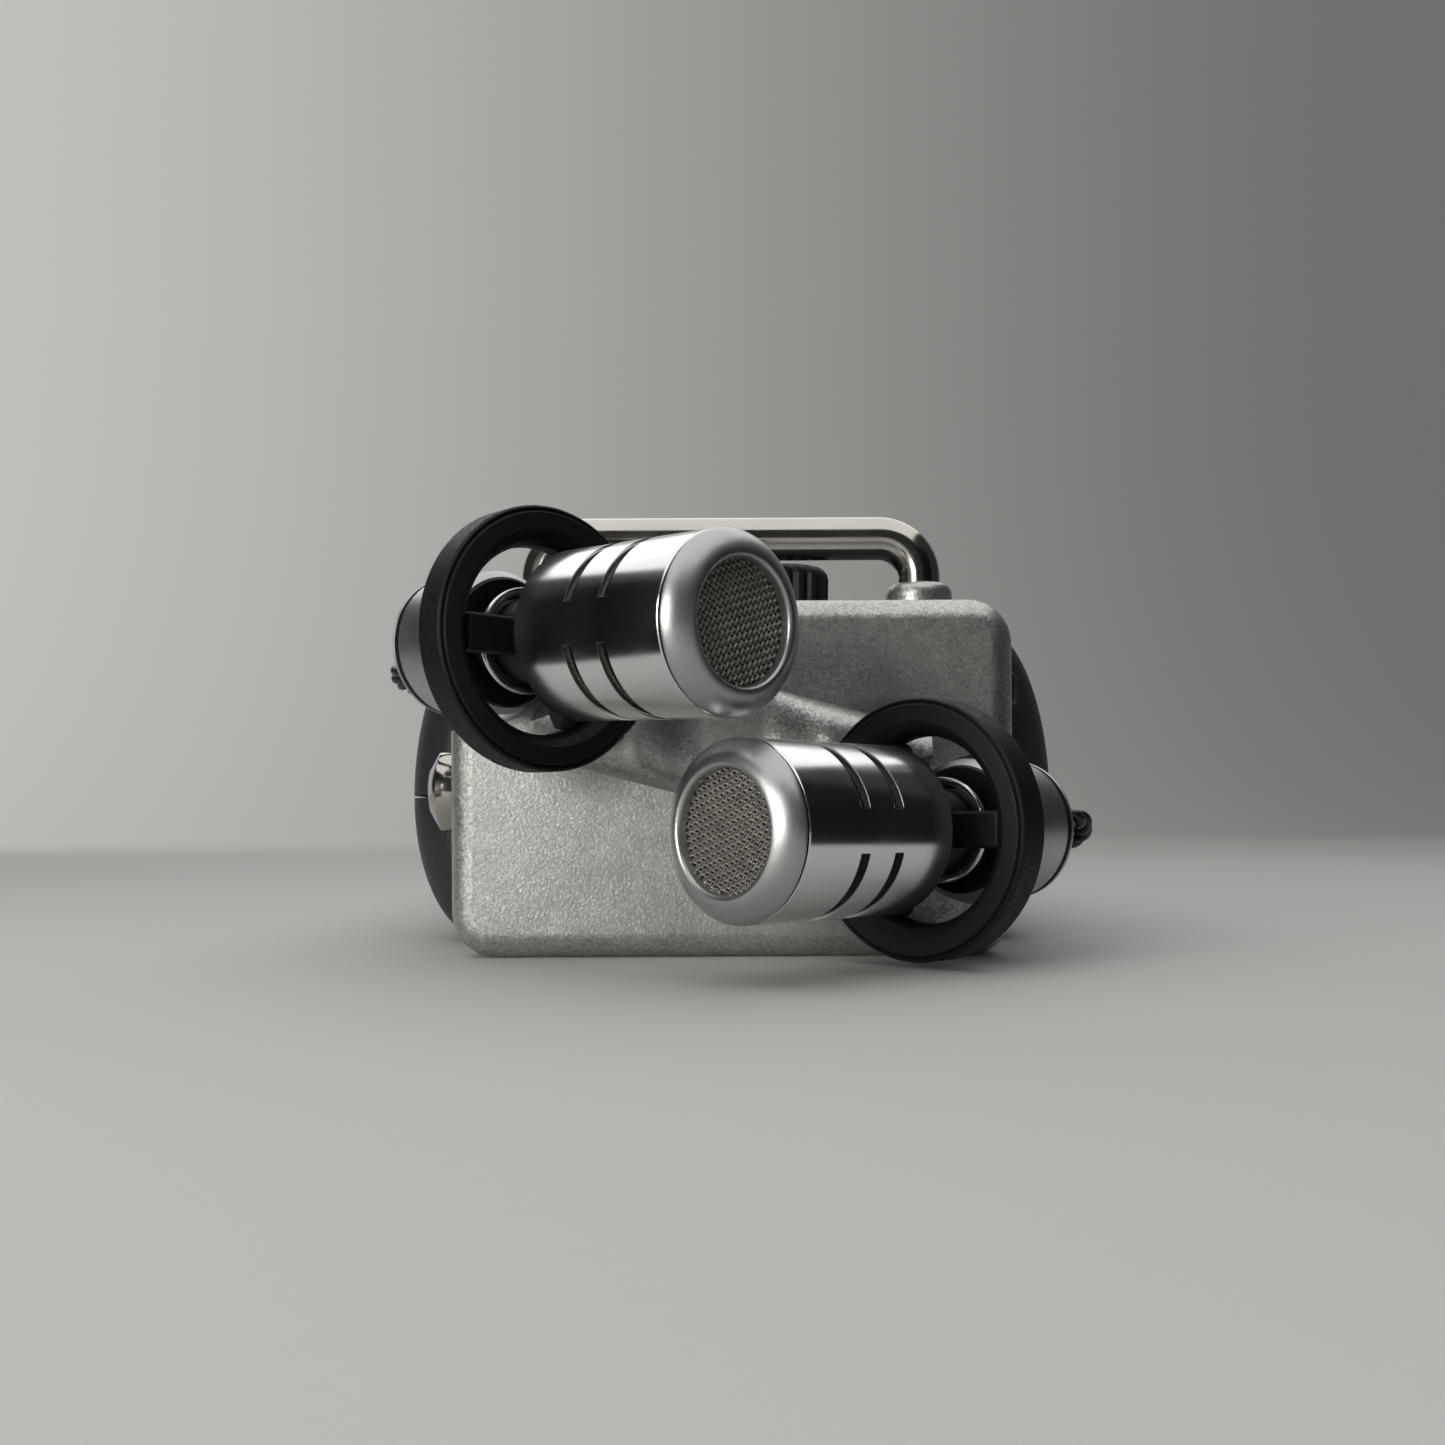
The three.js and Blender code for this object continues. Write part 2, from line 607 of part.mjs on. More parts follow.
function lowerShell() {
  const lower = common(hollowBody, block(-50, 50, 0, 220, -5, SEAM_HEIGHT - GAP / 2));
  const tools = [
    block(-9.4, 9.4, BODY_FRONT - 2, BODY_FRONT + 6, 11, 20),
    block(-BAY_HALF_WIDTH, BAY_HALF_WIDTH, BAY_FRONT, BAY_BACK, -5, WALL + 1),
    holeDown(0, TRIPOD_Y, 4.6 + GAP, -5, 8),
  ];
  for (const side of [-1, 1]) {
    const socketHole = disc(SOCKET_RADIUS + GAP, 150, 250, ROUND).rotateX(-Math.PI / 2);
    tools.push(socketHole.translate(side * SOCKET_X, 0, SOCKET_Z));
  }
  for (let k = 0; k < 5; k += 1) {
    tools.push(block(-6, 6, SPEAKER.y - 6.5 + 3 * k, SPEAKER.y - 5.5 + 3 * k, -5, WALL + 1));
  }
  return cut(lower, ...tools);
}

place(recorder, 'upper_shell', upperShell(), blackPlastic());
place(recorder, 'lower_shell', lowerShell(), blackPlastic());

// ---------------------------------------------------------------- roll bar and input dials

function rollBar() {
  const corner = BAR_LEG_X - BAR_BEND;
  const foot = BODY_TOP + GAP;
  const steps = 5;
  const points = [new THREE.Vector3(-BAR_LEG_X, 0, foot)];
  for (let k = 0; k <= steps; k += 1) {
    const angle = Math.PI - (k / steps) * Math.PI / 2;
    const x = -corner + BAR_BEND * Math.cos(angle);
    points.push(new THREE.Vector3(x, 0, BAR_AXIS_Z - BAR_BEND + BAR_BEND * Math.sin(angle)));
  }
  const mirrored = points.map((point) => new THREE.Vector3(-point.x, 0, point.z)).reverse();
  const centres = [...points, ...mirrored];
  const sides = 14;
  const rings = centres.map((centre, k) => {
    const before = centres[Math.max(k - 1, 0)];
    const after = centres[Math.min(k + 1, centres.length - 1)];
    const along = new THREE.Vector3().subVectors(after, before).normalize();
    const out = new THREE.Vector3(-along.z, 0, along.x);
    return Array.from({ length: sides }, (_, j) => {
      const angle = (j / sides) * Math.PI * 2;
      const offset = out.clone().multiplyScalar(BAR_RADIUS * Math.cos(angle));
      offset.y = BAR_RADIUS * Math.sin(angle);
      return centre.clone().add(offset);
    });
  });
  return loft(rings);
}

function barFoot() {
  const base = BODY_TOP + GAP;
  const profile = [
    [BAR_RADIUS + GAP, base], [3.5, base], [3.4, FOOT_TOP - 1], [3.1, FOOT_TOP - 0.3],
    [2.7, FOOT_TOP], [BAR_RADIUS + GAP, FOOT_TOP], [BAR_RADIUS + GAP, base],
  ];
  return turned(profile, 24);
}

place(recorder, 'roll_bar', rollBar(), nickel(), 0, BAR_Y, 0);
place(recorder, 'bar_foot_left', barFoot(), silverPaint(), -BAR_LEG_X, BAR_Y, 0);
place(recorder, 'bar_foot_right', barFoot(), silverPaint(), BAR_LEG_X, BAR_Y, 0);

// Fluted dial with its shaft going down through the shell.
function inputDial() {
  const flutes = 18;
  const steps = flutes * 2;
  const rings = [];
  const base = BODY_TOP + 0.5;
  const levels = [[base, -0.1], [KNOB_TOP - 1.3, 0], [KNOB_TOP - 0.5, -0.25], [KNOB_TOP, -1.1]];
  for (const [z, grow] of levels) {
    const ring = [];
    for (let k = 0; k < steps; k += 1) {
      const angle = (k / steps) * Math.PI * 2;
      const radius = KNOB_RADIUS + grow - (k % 2 === 0 ? 0 : 0.35);
      ring.push(new THREE.Vector3(radius * Math.cos(angle), radius * Math.sin(angle), z));
    }
    rings.push(ring);
  }
  return join(loft(rings), disc(1.5, BODY_TOP - 7, KNOB_TOP - 2, 16));
}

place(recorder, 'input_dial_left', inputDial(), blackPlastic(), -KNOB_X, KNOB_Y, 0);
place(recorder, 'input_dial_right', inputDial(), blackPlastic(), KNOB_X, KNOB_Y, 0);

// ---------------------------------------------------------------- display, keys and switches

const windowPlate = roundedPlate(...WINDOW_HALF, 1.4, BODY_TOP - 0.8, BODY_TOP + 0.1);
place(recorder, 'display_window', windowPlate, darkGlass(), 0, WINDOW_Y, 0);
const displayBlock = block(-19, 19, WINDOW_Y - 16, WINDOW_Y + 16, 25.6, 29.6);
place(recorder, 'display_module', displayBlock, satinMetal());

const KEY_FLANGE_TOP = BODY_TOP - WALL - GAP;
const KEY_TOP = BODY_TOP + 0.9;

function roundKey(radius) {
  const profile = [
    [0, KEY_FLANGE_TOP - 1], [radius + 0.9, KEY_FLANGE_TOP - 1], [radius + 0.9, KEY_FLANGE_TOP],
    [radius, KEY_FLANGE_TOP], [radius, KEY_TOP - 0.5], [radius - 0.5, KEY_TOP], [0, KEY_TOP - 0.25],
  ];
  return turned(profile, 20);
}

function trackKey() {
  const [halfX, halfY] = TRACK_KEY_HALF;
  return join(
    roundedPlate(halfX + 0.8, halfY + 0.8, 1.5, KEY_FLANGE_TOP - 1, KEY_FLANGE_TOP, 3),
    roundedPlate(halfX, halfY, 1, KEY_FLANGE_TOP - 0.5, KEY_TOP - 0.2, 3),
  );
}

place(recorder, 'record_key', roundKey(RECORD_KEY_RADIUS), finish(0xa01818, 0.4, 0), 0, RECORD_KEY_Y, 0);
for (const [name, x, y] of ROUND_KEYS) {
  place(recorder, name, roundKey(ROUND_KEY_RADIUS), blackPlastic(), x, y, 0);
}
TRACK_KEY_X.forEach((x, k) => {
  place(recorder, `track_key_${k + 1}`, trackKey(), blackPlastic(), x, TRACK_KEY_Y, 0);
});

// A side piece: a block through the wall whose outer face stands a set distance out of it.
function sideButton(side, part, proud, depth) {
  const halfWidth = bodyHalfWidth(part.y);
  const above = (part.z - SEAM_HEIGHT) / (BODY_TOP - SEAM_HEIGHT);
  const wallX = halfWidth - 1.9 * Math.pow(Math.max(above, 0), 2.2) - (above < 0 ? 0.9 : 0);
  const reach = [wallX - depth, wallX + proud].map((x) => side * x).sort((a, b) => a - b);
  return block(...reach, part.y - part.halfY, part.y + part.halfY, part.z - part.halfZ, part.z + part.halfZ);
}

place(recorder, 'release_button_left', sideButton(-1, RELEASE, 1.2, 5), blackPlastic());
place(recorder, 'release_button_right', sideButton(1, RELEASE, 1.2, 5), blackPlastic());
place(recorder, 'volume_rocker', sideButton(-1, ROCKER, 0.8, 4.5), blackPlastic());

// Slider cap of the power and hold switch, on a thin stem through its slot.
function powerSlider() {
  const halfWidth = bodyHalfWidth(SWITCH.y);
  const { y, z, halfZ } = SWITCH;
  const stem = block(-halfWidth - 0.6, -halfWidth + 5, y - 1.4, y + 1.4, z - 0.8, z + 0.8);
  const cap = block(-halfWidth - 1.5, -halfWidth - 0.3, y - 3.2, y + 3.2, z - halfZ, z + halfZ);
  return join(stem, cap);
}

place(recorder, 'power_slider', powerSlider(), blackPlastic());

function scrollWheel() {
  const teeth = 36;
  const shape = new THREE.Shape();
  for (let k = 0; k < teeth; k += 1) {
    const radius = WHEEL.radius - (k % 2 === 0 ? 0 : 0.3);
    const angle = (k / teeth) * Math.PI * 2;
    shape[k === 0 ? 'moveTo' : 'lineTo'](radius * Math.cos(angle), radius * Math.sin(angle));
  }
  shape.closePath();
  const wheel = new THREE.ExtrudeGeometry(shape, { depth: WHEEL.thickness, bevelEnabled: false });
  return wheel.translate(0, 0, -WHEEL.thickness / 2);
}

place(recorder, 'scroll_wheel', scrollWheel(), blackPlastic(), WHEEL.x, WHEEL.y, WHEEL.z);

// ---------------------------------------------------------------- sockets

// Combined microphone and jack socket: an outer collar, a round slot, and a core with the jack bore.
function inputSocket() {
  const front = BODY_BACK - 24;
  const face = BODY_BACK + 0.2;
  const cup = [
    [0, front], [SOCKET_RADIUS - 0.8, front], [SOCKET_RADIUS - 0.8, face - 3], [SOCKET_RADIUS, face - 3],
    [SOCKET_RADIUS, face], [9.5, face], [9.5, face - 14], [8, face - 14], [8, face - 1], [3.3, face - 1],
    [3.3, face - 22], [0, face - 22],
  ];
  return turned(cup, ROUND).rotateX(-Math.PI / 2);
}

// Latch tab above the core, pressed to let a plug go.
function socketTab() {
  const face = BODY_BACK + 0.2;
  return block(-2.4, 2.4, face + GAP, face + 1.6, 9.9, 11.6);
}

place(recorder, 'input_socket_left', inputSocket(), blackPlastic(), -SOCKET_X, 0, SOCKET_Z);
place(recorder, 'input_socket_right', inputSocket(), blackPlastic(), SOCKET_X, 0, SOCKET_Z);
place(recorder, 'socket_tab_left', socketTab(), satinMetal(), -SOCKET_X, 0, SOCKET_Z);
place(recorder, 'socket_tab_right', socketTab(), satinMetal(), SOCKET_X, 0, SOCKET_Z);

const phonesHalfWidth = bodyHalfWidth(PHONES.y);
const phonesProfile = tubeProfile(1.8, 2.6, 0, 12);
const phonesTube = turned(phonesProfile, 20).rotateY(-Math.PI / 2);
place(recorder, 'phones_socket', phonesTube, nickel(), -phonesHalfWidth + 11.6, PHONES.y, PHONES.z);

// ---------------------------------------------------------------- inside the main unit

function mainBoard() {
  const board = block(-24, 24, BODY_FRONT + 8, BODY_BACK - 28, BOARD_Z, BOARD_Z + 1.6);
  return cut(
    board,
    holeDown(-KNOB_X, KNOB_Y, 2.4, 10, 30),
    holeDown(KNOB_X, KNOB_Y, 2.4, 10, 30),
    block(WHEEL.x - WHEEL.radius - 1, 40, WHEEL.y - 8, WHEEL.y + 8, 10, 30),
  );
}

place(recorder, 'main_board', mainBoard(), greenBoard());
const connectorBlock = block(-9, 9, BODY_FRONT - 0.1, BODY_FRONT + 7, 12.5, 18.5);
place(recorder, 'capsule_connector', connectorBlock, satinMetal());

for (const [side, label] of [[-1, 'left'], [1, 'right']]) {
  const body = [
    [0, 0], [CELL_RADIUS, 0], [CELL_RADIUS, CELL_LENGTH - 1.2], [2.7, CELL_LENGTH - 1.2],
    [2.7, CELL_LENGTH], [0, CELL_LENGTH],
  ];
  const cell = turned(body, 20).rotateX(-Math.PI / 2);
  place(recorder, `cell_${label}`, cell, finish(0x2b3a66, 0.35, 0.3), side * CELL_X, CELL_FRONT, CELL_Z);
}

const frontContact = block(-15, 15, CELL_FRONT - 5, CELL_FRONT - 4.4, 3, 16.5);
const rearContact = block(-15, 15, BAY_BACK - 3.4, BAY_BACK - 2.8, 3, 16.5);
place(recorder, 'battery_contact_front', frontContact, nickel());
place(recorder, 'battery_contact_rear', rearContact, nickel());

const bayWidth = BAY_HALF_WIDTH - GAP;
const batteryCover = block(-bayWidth, bayWidth, BAY_FRONT + GAP, BAY_BACK - GAP, 0, WALL);
place(recorder, 'battery_cover', batteryCover, blackPlastic());

place(recorder, 'tripod_nut', turned(tubeProfile(3.2, 4.6, 0.2, 9), 20), satinMetal(), 0, TRIPOD_Y, 0);
place(recorder, 'speaker', disc(SPEAKER.radius, SPEAKER.z, SPEAKER.z + 4.4), satinMetal(), 0, SPEAKER.y, 0);

function cardDoor() {
  const halfWidth = bodyHalfWidth(CARD_DOOR.y);
  const { y, z, halfY, halfZ } = CARD_DOOR;
  return block(halfWidth - 2, halfWidth - 0.5, y - halfY, y + halfY, z - halfZ, z + halfZ);
}

place(recorder, 'card_door', cardDoor(), blackRubber());
const cardEdge = bodyHalfWidth(CARD_DOOR.y) - 4;
const card = block(cardEdge - 32, cardEdge, CARD_DOOR.y - 12, CARD_DOOR.y + 12, 18.4, 20.5);
place(recorder, 'memory_card', card, blackPlastic());

// ---------------------------------------------------------------- stand it on its base

recorder.updateMatrixWorld(true);
const bounds = new THREE.Box3().setFromObject(recorder, true);
const middle = bounds.getCenter(new THREE.Vector3());
recorder.position.set(-middle.x, -middle.y, -bounds.min.z);

export default recorder;
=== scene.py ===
import math

import bpy
from mathutils import Matrix, Vector


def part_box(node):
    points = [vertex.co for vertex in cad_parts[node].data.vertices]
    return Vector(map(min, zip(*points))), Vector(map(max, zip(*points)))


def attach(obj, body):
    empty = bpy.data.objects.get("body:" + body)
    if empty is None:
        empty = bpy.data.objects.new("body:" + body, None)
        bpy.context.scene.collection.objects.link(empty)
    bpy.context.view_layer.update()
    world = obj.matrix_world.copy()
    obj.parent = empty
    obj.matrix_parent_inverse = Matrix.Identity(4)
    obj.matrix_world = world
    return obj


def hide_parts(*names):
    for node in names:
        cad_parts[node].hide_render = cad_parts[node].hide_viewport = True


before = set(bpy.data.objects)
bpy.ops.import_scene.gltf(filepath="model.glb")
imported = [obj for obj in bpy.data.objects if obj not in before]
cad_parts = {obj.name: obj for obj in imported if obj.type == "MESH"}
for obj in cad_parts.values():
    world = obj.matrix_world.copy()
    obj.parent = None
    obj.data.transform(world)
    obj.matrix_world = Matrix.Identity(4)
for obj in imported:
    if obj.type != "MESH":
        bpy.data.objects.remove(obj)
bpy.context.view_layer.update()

# ---------------------------------------------------------------- camera
# A level camera in front of the crossed microphones, at the height of the capsule's middle.
# The frame is shifted a little so that the recorder sits below the picture's centre.

CAMERA_DISTANCE = 0.1404         # from the main unit's front to the lens
CAMERA_HEIGHT = 0.0116
CAMERA_ROLL = math.radians(0.3)

unit_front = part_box("upper_shell")[0].y
bpy.ops.object.select_all(action="DESELECT")
bpy.ops.object.camera_add(
    location=(0, unit_front - CAMERA_DISTANCE, CAMERA_HEIGHT),
    rotation=(math.radians(90), CAMERA_ROLL, 0),
)
camera = bpy.context.object
camera.data.lens = 34.88
camera.data.sensor_width = 36
camera.data.shift_x = -0.0066
camera.data.shift_y = 0.073
camera.data.clip_start = 0.005
bpy.context.scene.camera = camera
bpy.context.scene.view_settings.view_transform = "Standard"

# ---------------------------------------------------------------- finishes
# Every finish is one material. A Link is a socket that arithmetic can be done on, and a
# Finish adds its nodes by one method: type, settings first, then the sockets' values.


class Link:
    def __init__(self, finish, socket):
        self.finish = finish
        self.socket = socket

    def math(self, operation, first, second):
        return self.finish.node("ShaderNodeMath", {"operation": operation}, {0: first, 1: second})

    def __add__(self, other):
        return self.math("ADD", self, other)

    def __radd__(self, other):
        return self.math("ADD", other, self)

    def __sub__(self, other):
        return self.math("SUBTRACT", self, other)

    def __rsub__(self, other):
        return self.math("SUBTRACT", other, self)

    def __mul__(self, other):
        return self.math("MULTIPLY", self, other)

    def __rmul__(self, other):
        return self.math("MULTIPLY", other, self)


class Finish:
    def __init__(self, name, settings):
        self.material = bpy.data.materials.new(name)
        self.material.use_nodes = True
        self.tree = self.material.node_tree
        self.shader = self.tree.nodes["Principled BSDF"]
        self.drive(settings)

    def feed(self, socket, value):
        if isinstance(value, Link):
            self.tree.links.new(value.socket, socket)
        else:
            socket.default_value = value

    def drive(self, settings):
        for name, value in settings.items():
            self.feed(self.shader.inputs[name], value)

    def node(self, kind, settings=None, inputs=None, output=0):
        made = self.tree.nodes.new(kind)
        for key, value in (settings or {}).items():
            if key == "stops":
                for stop, (position, colour) in zip(made.color_ramp.elements, value):
                    stop.position = position
                    stop.color = colour
            else:
                setattr(made, key, value)
        for key, value in (inputs or {}).items():
            self.feed(made.inputs[key], value)
        return Link(self, made.outputs[output])

    def place(self):
        return self.node("ShaderNodeTexCoord", output="Object")

    def along(self, axis, where=None):
        return self.node("ShaderNodeSeparateXYZ", {}, {0: where or self.place()}, axis)

    def noise(self, scale, detail=2.0, stretch=None):
        where = self.place()
        if stretch:
            where = self.node("ShaderNodeMapping", {}, {"Vector": where, "Scale": stretch})
        return self.node("ShaderNodeTexNoise", {}, {"Vector": where, "Scale": scale, "Detail": detail})

    def ramp(self, level, low, high):
        """Spreads a noise's level, which stays near its middle, from low to high."""
        return self.node(
            "ShaderNodeMapRange", {},
            {"Value": level, "From Min": 0.3, "From Max": 0.7, "To Min": low, "To Max": high},
        )

    def tint(self, level, dark, light):
        return self.node(
            "ShaderNodeMix",
            {"data_type": "RGBA"},
            {"Factor": level, 6: (*dark, 1), 7: (*light, 1)},
            output=2,
        )

    def bump(self, height, strength, distance):
        return self.node("ShaderNodeBump", {}, {"Height": height, "Strength": strength, "Distance": distance})


# ---------------------------------------------------------------- floor and light
# A plain pale floor that curves up into a backdrop glowing with painted light, one softbox overhead, a weaker
# # one low at the front left, and a black card on each side. The room itself is dim.

FLOOR_HALF = 2.4
BACKDROP_Y = 2.0
BACKDROP_HEIGHT = 2.0
SWEEP_RADIUS = 0.8

bpy.ops.object.select_all(action="DESELECT")
bpy.ops.mesh.primitive_plane_add(size=1)
floor = bpy.context.object
floor.name = "floor"
bpy.ops.object.mode_set(mode="EDIT")
bpy.ops.mesh.select_all(action="SELECT")
bpy.ops.transform.resize(value=(FLOOR_HALF * 2, FLOOR_HALF * 2, 1), center_override=(0, 0, 0))
bpy.ops.transform.translate(value=(0, BACKDROP_Y - SWEEP_RADIUS - FLOOR_HALF, 0))
bpy.ops.object.mode_set(mode="OBJECT")
for edge in floor.data.edges:
    edge.select = all(floor.data.vertices[v].co.y > 0.2 for v in edge.vertices)
for face in floor.data.polygons:
    face.select = False
bpy.ops.object.mode_set(mode="EDIT")
bpy.ops.mesh.select_mode(type="EDGE")
bpy.ops.mesh.spin(
    steps=16, angle=math.radians(90), center=(0, BACKDROP_Y - SWEEP_RADIUS, SWEEP_RADIUS), axis=(-1, 0, 0)
)
bpy.ops.mesh.extrude_region_move(TRANSFORM_OT_translate={"value": (0, 0, BACKDROP_HEIGHT)})
bpy.ops.object.mode_set(mode="OBJECT")
bpy.ops.object.shade_smooth_by_angle(angle=math.radians(40))
board = Finish("backdrop_board", {"Roughness": 0.85, "Specular IOR Level": 0.2})
across = board.along("X")
behind = board.along("Y")
# The glow is painted light on the board, bright at the left and dimmer to the right; it comes in towards the
# back, where the board's own colour goes dark beneath it.
glow = board.node(
    "ShaderNodeMapRange", {"interpolation_type": "SMOOTHSTEP"},
    {"Value": across, "From Min": -1.5, "From Max": 1.1, "To Min": 0.54, "To Max": 0.16},
)
shown = board.node(
    "ShaderNodeMapRange", {"interpolation_type": "SMOOTHSTEP"},
    {"Value": behind, "From Min": 0.0, "From Max": 0.7},
)
board.drive({
    "Base Color": board.tint(shown, (0.50, 0.50, 0.485), (0.03, 0.03, 0.03)),
    "Emission Color": board.node(
        "ShaderNodeVectorMath", {"operation": "SCALE"}, {0: (1, 0.985, 0.945), "Scale": glow * shown}
    ),
    "Emission Strength": 1.0,
})
floor.data.materials.append(board.material)

room = bpy.data.worlds.new("room")
room.use_nodes = True
room.node_tree.nodes["Background"].inputs["Color"].default_value = (0.55, 0.56, 0.56, 1)
room.node_tree.nodes["Background"].inputs["Strength"].default_value = 0.07
bpy.context.scene.world = room


def softbox(name, place, target, width, height, power, colour=(1, 1, 1)):
    bpy.ops.object.light_add(type="AREA", location=place)
    lamp = bpy.context.object
    lamp.name = name
    lamp.rotation_euler = (Vector(target) - Vector(place)).to_track_quat("-Z", "Y").to_euler()
    lamp.data.shape = "RECTANGLE"
    lamp.data.size = width
    lamp.data.size_y = height
    lamp.data.energy = power
    lamp.data.color = colour


softbox("overhead", (-0.03, 0.0, 0.46), (-0.02, 0, 0), 1.15, 0.8, 3.3)
softbox("low_left", (-0.19, -0.32, 0.065), (-0.02, -0.09, 0.008), 0.2, 0.11, 0.62, (1, 0.985, 0.95))


FLAG_REACH = (-0.14, -0.088)
FLAG_HEIGHT = 0.075
FLAG_CLEARANCE = 0.006
view_slope = camera.data.sensor_width / 2 / camera.data.lens
card = Finish(
    "black_card", {"Base Color": (0.01, 0.01, 0.01, 1), "Roughness": 0.9, "Specular IOR Level": 0.1}
)


def side_flag(side):
    """A black card just outside the view, seen only in reflections."""
    points = []
    for y in FLAG_REACH:
        edge = side * (view_slope * (y - camera.location.y) + FLAG_CLEARANCE)
        points += [(edge, y, 0.0), (edge, y, FLAG_HEIGHT)]
    mesh = bpy.data.meshes.new("flag")
    mesh.from_pydata(points, [], [(0, 1, 3, 2)])
    flag = bpy.data.objects.new("flag_left" if side < 0 else "flag_right", mesh)
    bpy.context.collection.objects.link(flag)
    flag.visible_camera = False
    flag.visible_diffuse = False
    flag.visible_shadow = False
    flag.visible_transmission = False
    mesh.materials.append(card.material)


for side in (-1, 1):
    side_flag(side)

# ---------------------------------------------------------------- capsule housing
# The microphone capsule's front: an open-backed zinc casting with rounded corners. A raised
# diagonal bridge swells up into both ring seats, and a scoop is hollowed behind each
# microphone. It is sprayed with a coarse silver flake paint, and its edges are softened.

MM = 0.001                       # pieces are modelled in millimetres and fitted in metres


def box_mm(node):
    low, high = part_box(node)
    return low / MM, high / MM


def only(piece):
    bpy.ops.object.select_all(action="DESELECT")
    piece.select_set(True)
    bpy.context.view_layer.objects.active = piece


def modify(piece, kind, **settings):
    modifier = piece.modifiers.new(kind.lower(), kind)
    for key, value in settings.items():
        setattr(modifier, key, value)
    only(piece)
    bpy.ops.object.modifier_apply(modifier=modifier.name)


def combine(piece, operation, *tools):
    for tool in tools:
        modify(piece, "BOOLEAN", operation=operation, object=tool, solver="EXACT")
        bpy.data.objects.remove(tool)
    return piece


def soften(piece, width, segments=2, angle=35):
    modify(piece, "BEVEL", width=width, segments=segments, angle_limit=math.radians(angle))
    return piece


def pick_edges(piece, wanted):
    """Goes into edit mode with just the edges selected whose two end points suit."""
    for part in (*piece.data.vertices, *piece.data.polygons):
        part.select = False
    points = [vertex.co for vertex in piece.data.vertices]
    for edge in piece.data.edges:
        edge.select = wanted(*(points[v] for v in edge.vertices))
    only(piece)
    bpy.context.tool_settings.mesh_select_mode = (False, True, False)
    bpy.ops.object.mode_set(mode="EDIT")


def done_editing():
    bpy.ops.mesh.select_all(action="SELECT")
    bpy.ops.mesh.normals_make_consistent(inside=False)
    bpy.ops.mesh.select_mode(type="VERT")
    bpy.ops.object.mode_set(mode="OBJECT")


def block(low, high, corner=0.0, along=1, edge=0.0):
    """A box between two corners; corner rounds its four edges along one axis, edge all the rest."""
    low, high = Vector(low), Vector(high)
    bpy.ops.object.select_all(action="DESELECT")
    bpy.ops.mesh.primitive_cube_add(size=1, location=(low + high) / 2, scale=high - low)
    piece = bpy.context.object
    bpy.ops.object.transform_apply()
    if corner:
        pick_edges(piece, lambda a, b: abs((a - b)[along]) > 0.9 * (high - low)[along])
        bpy.ops.mesh.bevel(offset=corner, segments=8, affect="EDGES")
        done_editing()
    if edge:
        soften(piece, edge, 3)
    return piece


def turn(profile, sides=96, ends="filled"):
    """A piece turned about Z: a circle at the first (radius, height), extruded from point to point.
    Its ends are filled, left open, or joined to each other for a ring."""
    radius, height = profile[0]
    bpy.ops.object.select_all(action="DESELECT")
    bpy.ops.mesh.primitive_circle_add(vertices=sides, radius=radius, location=(0, 0, height))
    bpy.ops.object.transform_apply()
    piece = bpy.context.object
    bpy.ops.object.mode_set(mode="EDIT")
    bpy.ops.mesh.select_mode(type="VERT")
    bpy.ops.mesh.select_all(action="SELECT")
    for next_radius, next_height in profile[1:]:
        bpy.ops.mesh.extrude_region_move(TRANSFORM_OT_translate={"value": (0, 0, next_height - height)})
        grow = next_radius / radius
        bpy.ops.transform.resize(value=(grow, grow, 1), center_override=(0, 0, 0))
        radius, height = next_radius, next_height
    bpy.ops.mesh.select_all(action="SELECT")
    if ends == "joined":
        bpy.ops.mesh.select_all(action="DESELECT")
        bpy.ops.mesh.select_non_manifold()
        bpy.ops.mesh.bridge_edge_loops()
    if ends == "filled":
        bpy.ops.mesh.fill_holes(sides=0)
    done_editing()
    return piece


def put(piece, matrix):
    piece.data.transform(matrix)
    return piece


def fit(piece, name, finish, body, replaced=(), smooth=40):
    """Names a finished piece, brings it to metres, paints it and fixes it to its body."""
    piece.name = name
    piece.data.name = name
    piece.data.transform(Matrix.Scale(MM, 4))
    piece.data.materials.clear()
    piece.data.materials.append(finish.material)
    only(piece)
    bpy.ops.object.shade_smooth_by_angle(angle=math.radians(smooth))
    modify(piece, "WEIGHTED_NORMAL", keep_sharp=True)
    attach(piece, body)
    if replaced:
        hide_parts(*replaced)
    return piece


CAPSULE_DEPTH = 15.2
CAPSULE_CORNER = 4
CAPSULE_FRONT_ROUND = 2.3
WALL = 1.9
SCOOP_RADIUS = 7.1
RING_OUTER = 10.9
RING_WIDTH = 3.5
MIC_ANGLE = math.radians(135)
GAP = 0.3

body_front = box_mm("upper_shell")[0].y
FACE_Y = body_front - CAPSULE_DEPTH - 0.4
_, capsule_high = box_mm("capsule_shell")
capsule_half = capsule_high.x
capsule_top = capsule_high.z


def seat_of(side, ring):
    """The centre of a suspension ring's front face, and the turn that points forward through it."""
    low, high = box_mm(ring)
    turn_to = Matrix.Rotation(side * MIC_ANGLE, 4, "Z")
    forward = turn_to @ Vector((0, 1, 0))
    return Matrix.Translation((low + high) / 2 + forward * RING_WIDTH / 2) @ turn_to


LATHE_TO_FORWARD = Matrix.Rotation(math.radians(-90), 4, "X")
SEATS = {"left": seat_of(-1, "ring_left"), "right": seat_of(1, "ring_right")}


def bore(label, radius, front, back, lift=0.0):
    piece = turn([(radius, -back), (radius, -front)], 72)
    return put(piece, Matrix.Translation((0, 0, lift)) @ SEATS[label] @ LATHE_TO_FORWARD)


def smoothstep(value, low, high):
    t = min(max((value - low) / (high - low), 0), 1)
    return t * t * (3 - 2 * t)


BRIDGE_HALF_LENGTH = 17.5
BRIDGE_HALF_HEIGHT = 5.85
BRIDGE_SLOPE = -0.27
BRIDGE_MIDDLE = 19.2
BRIDGE_LOW = 0.45
BRIDGE_RISE = 2.9


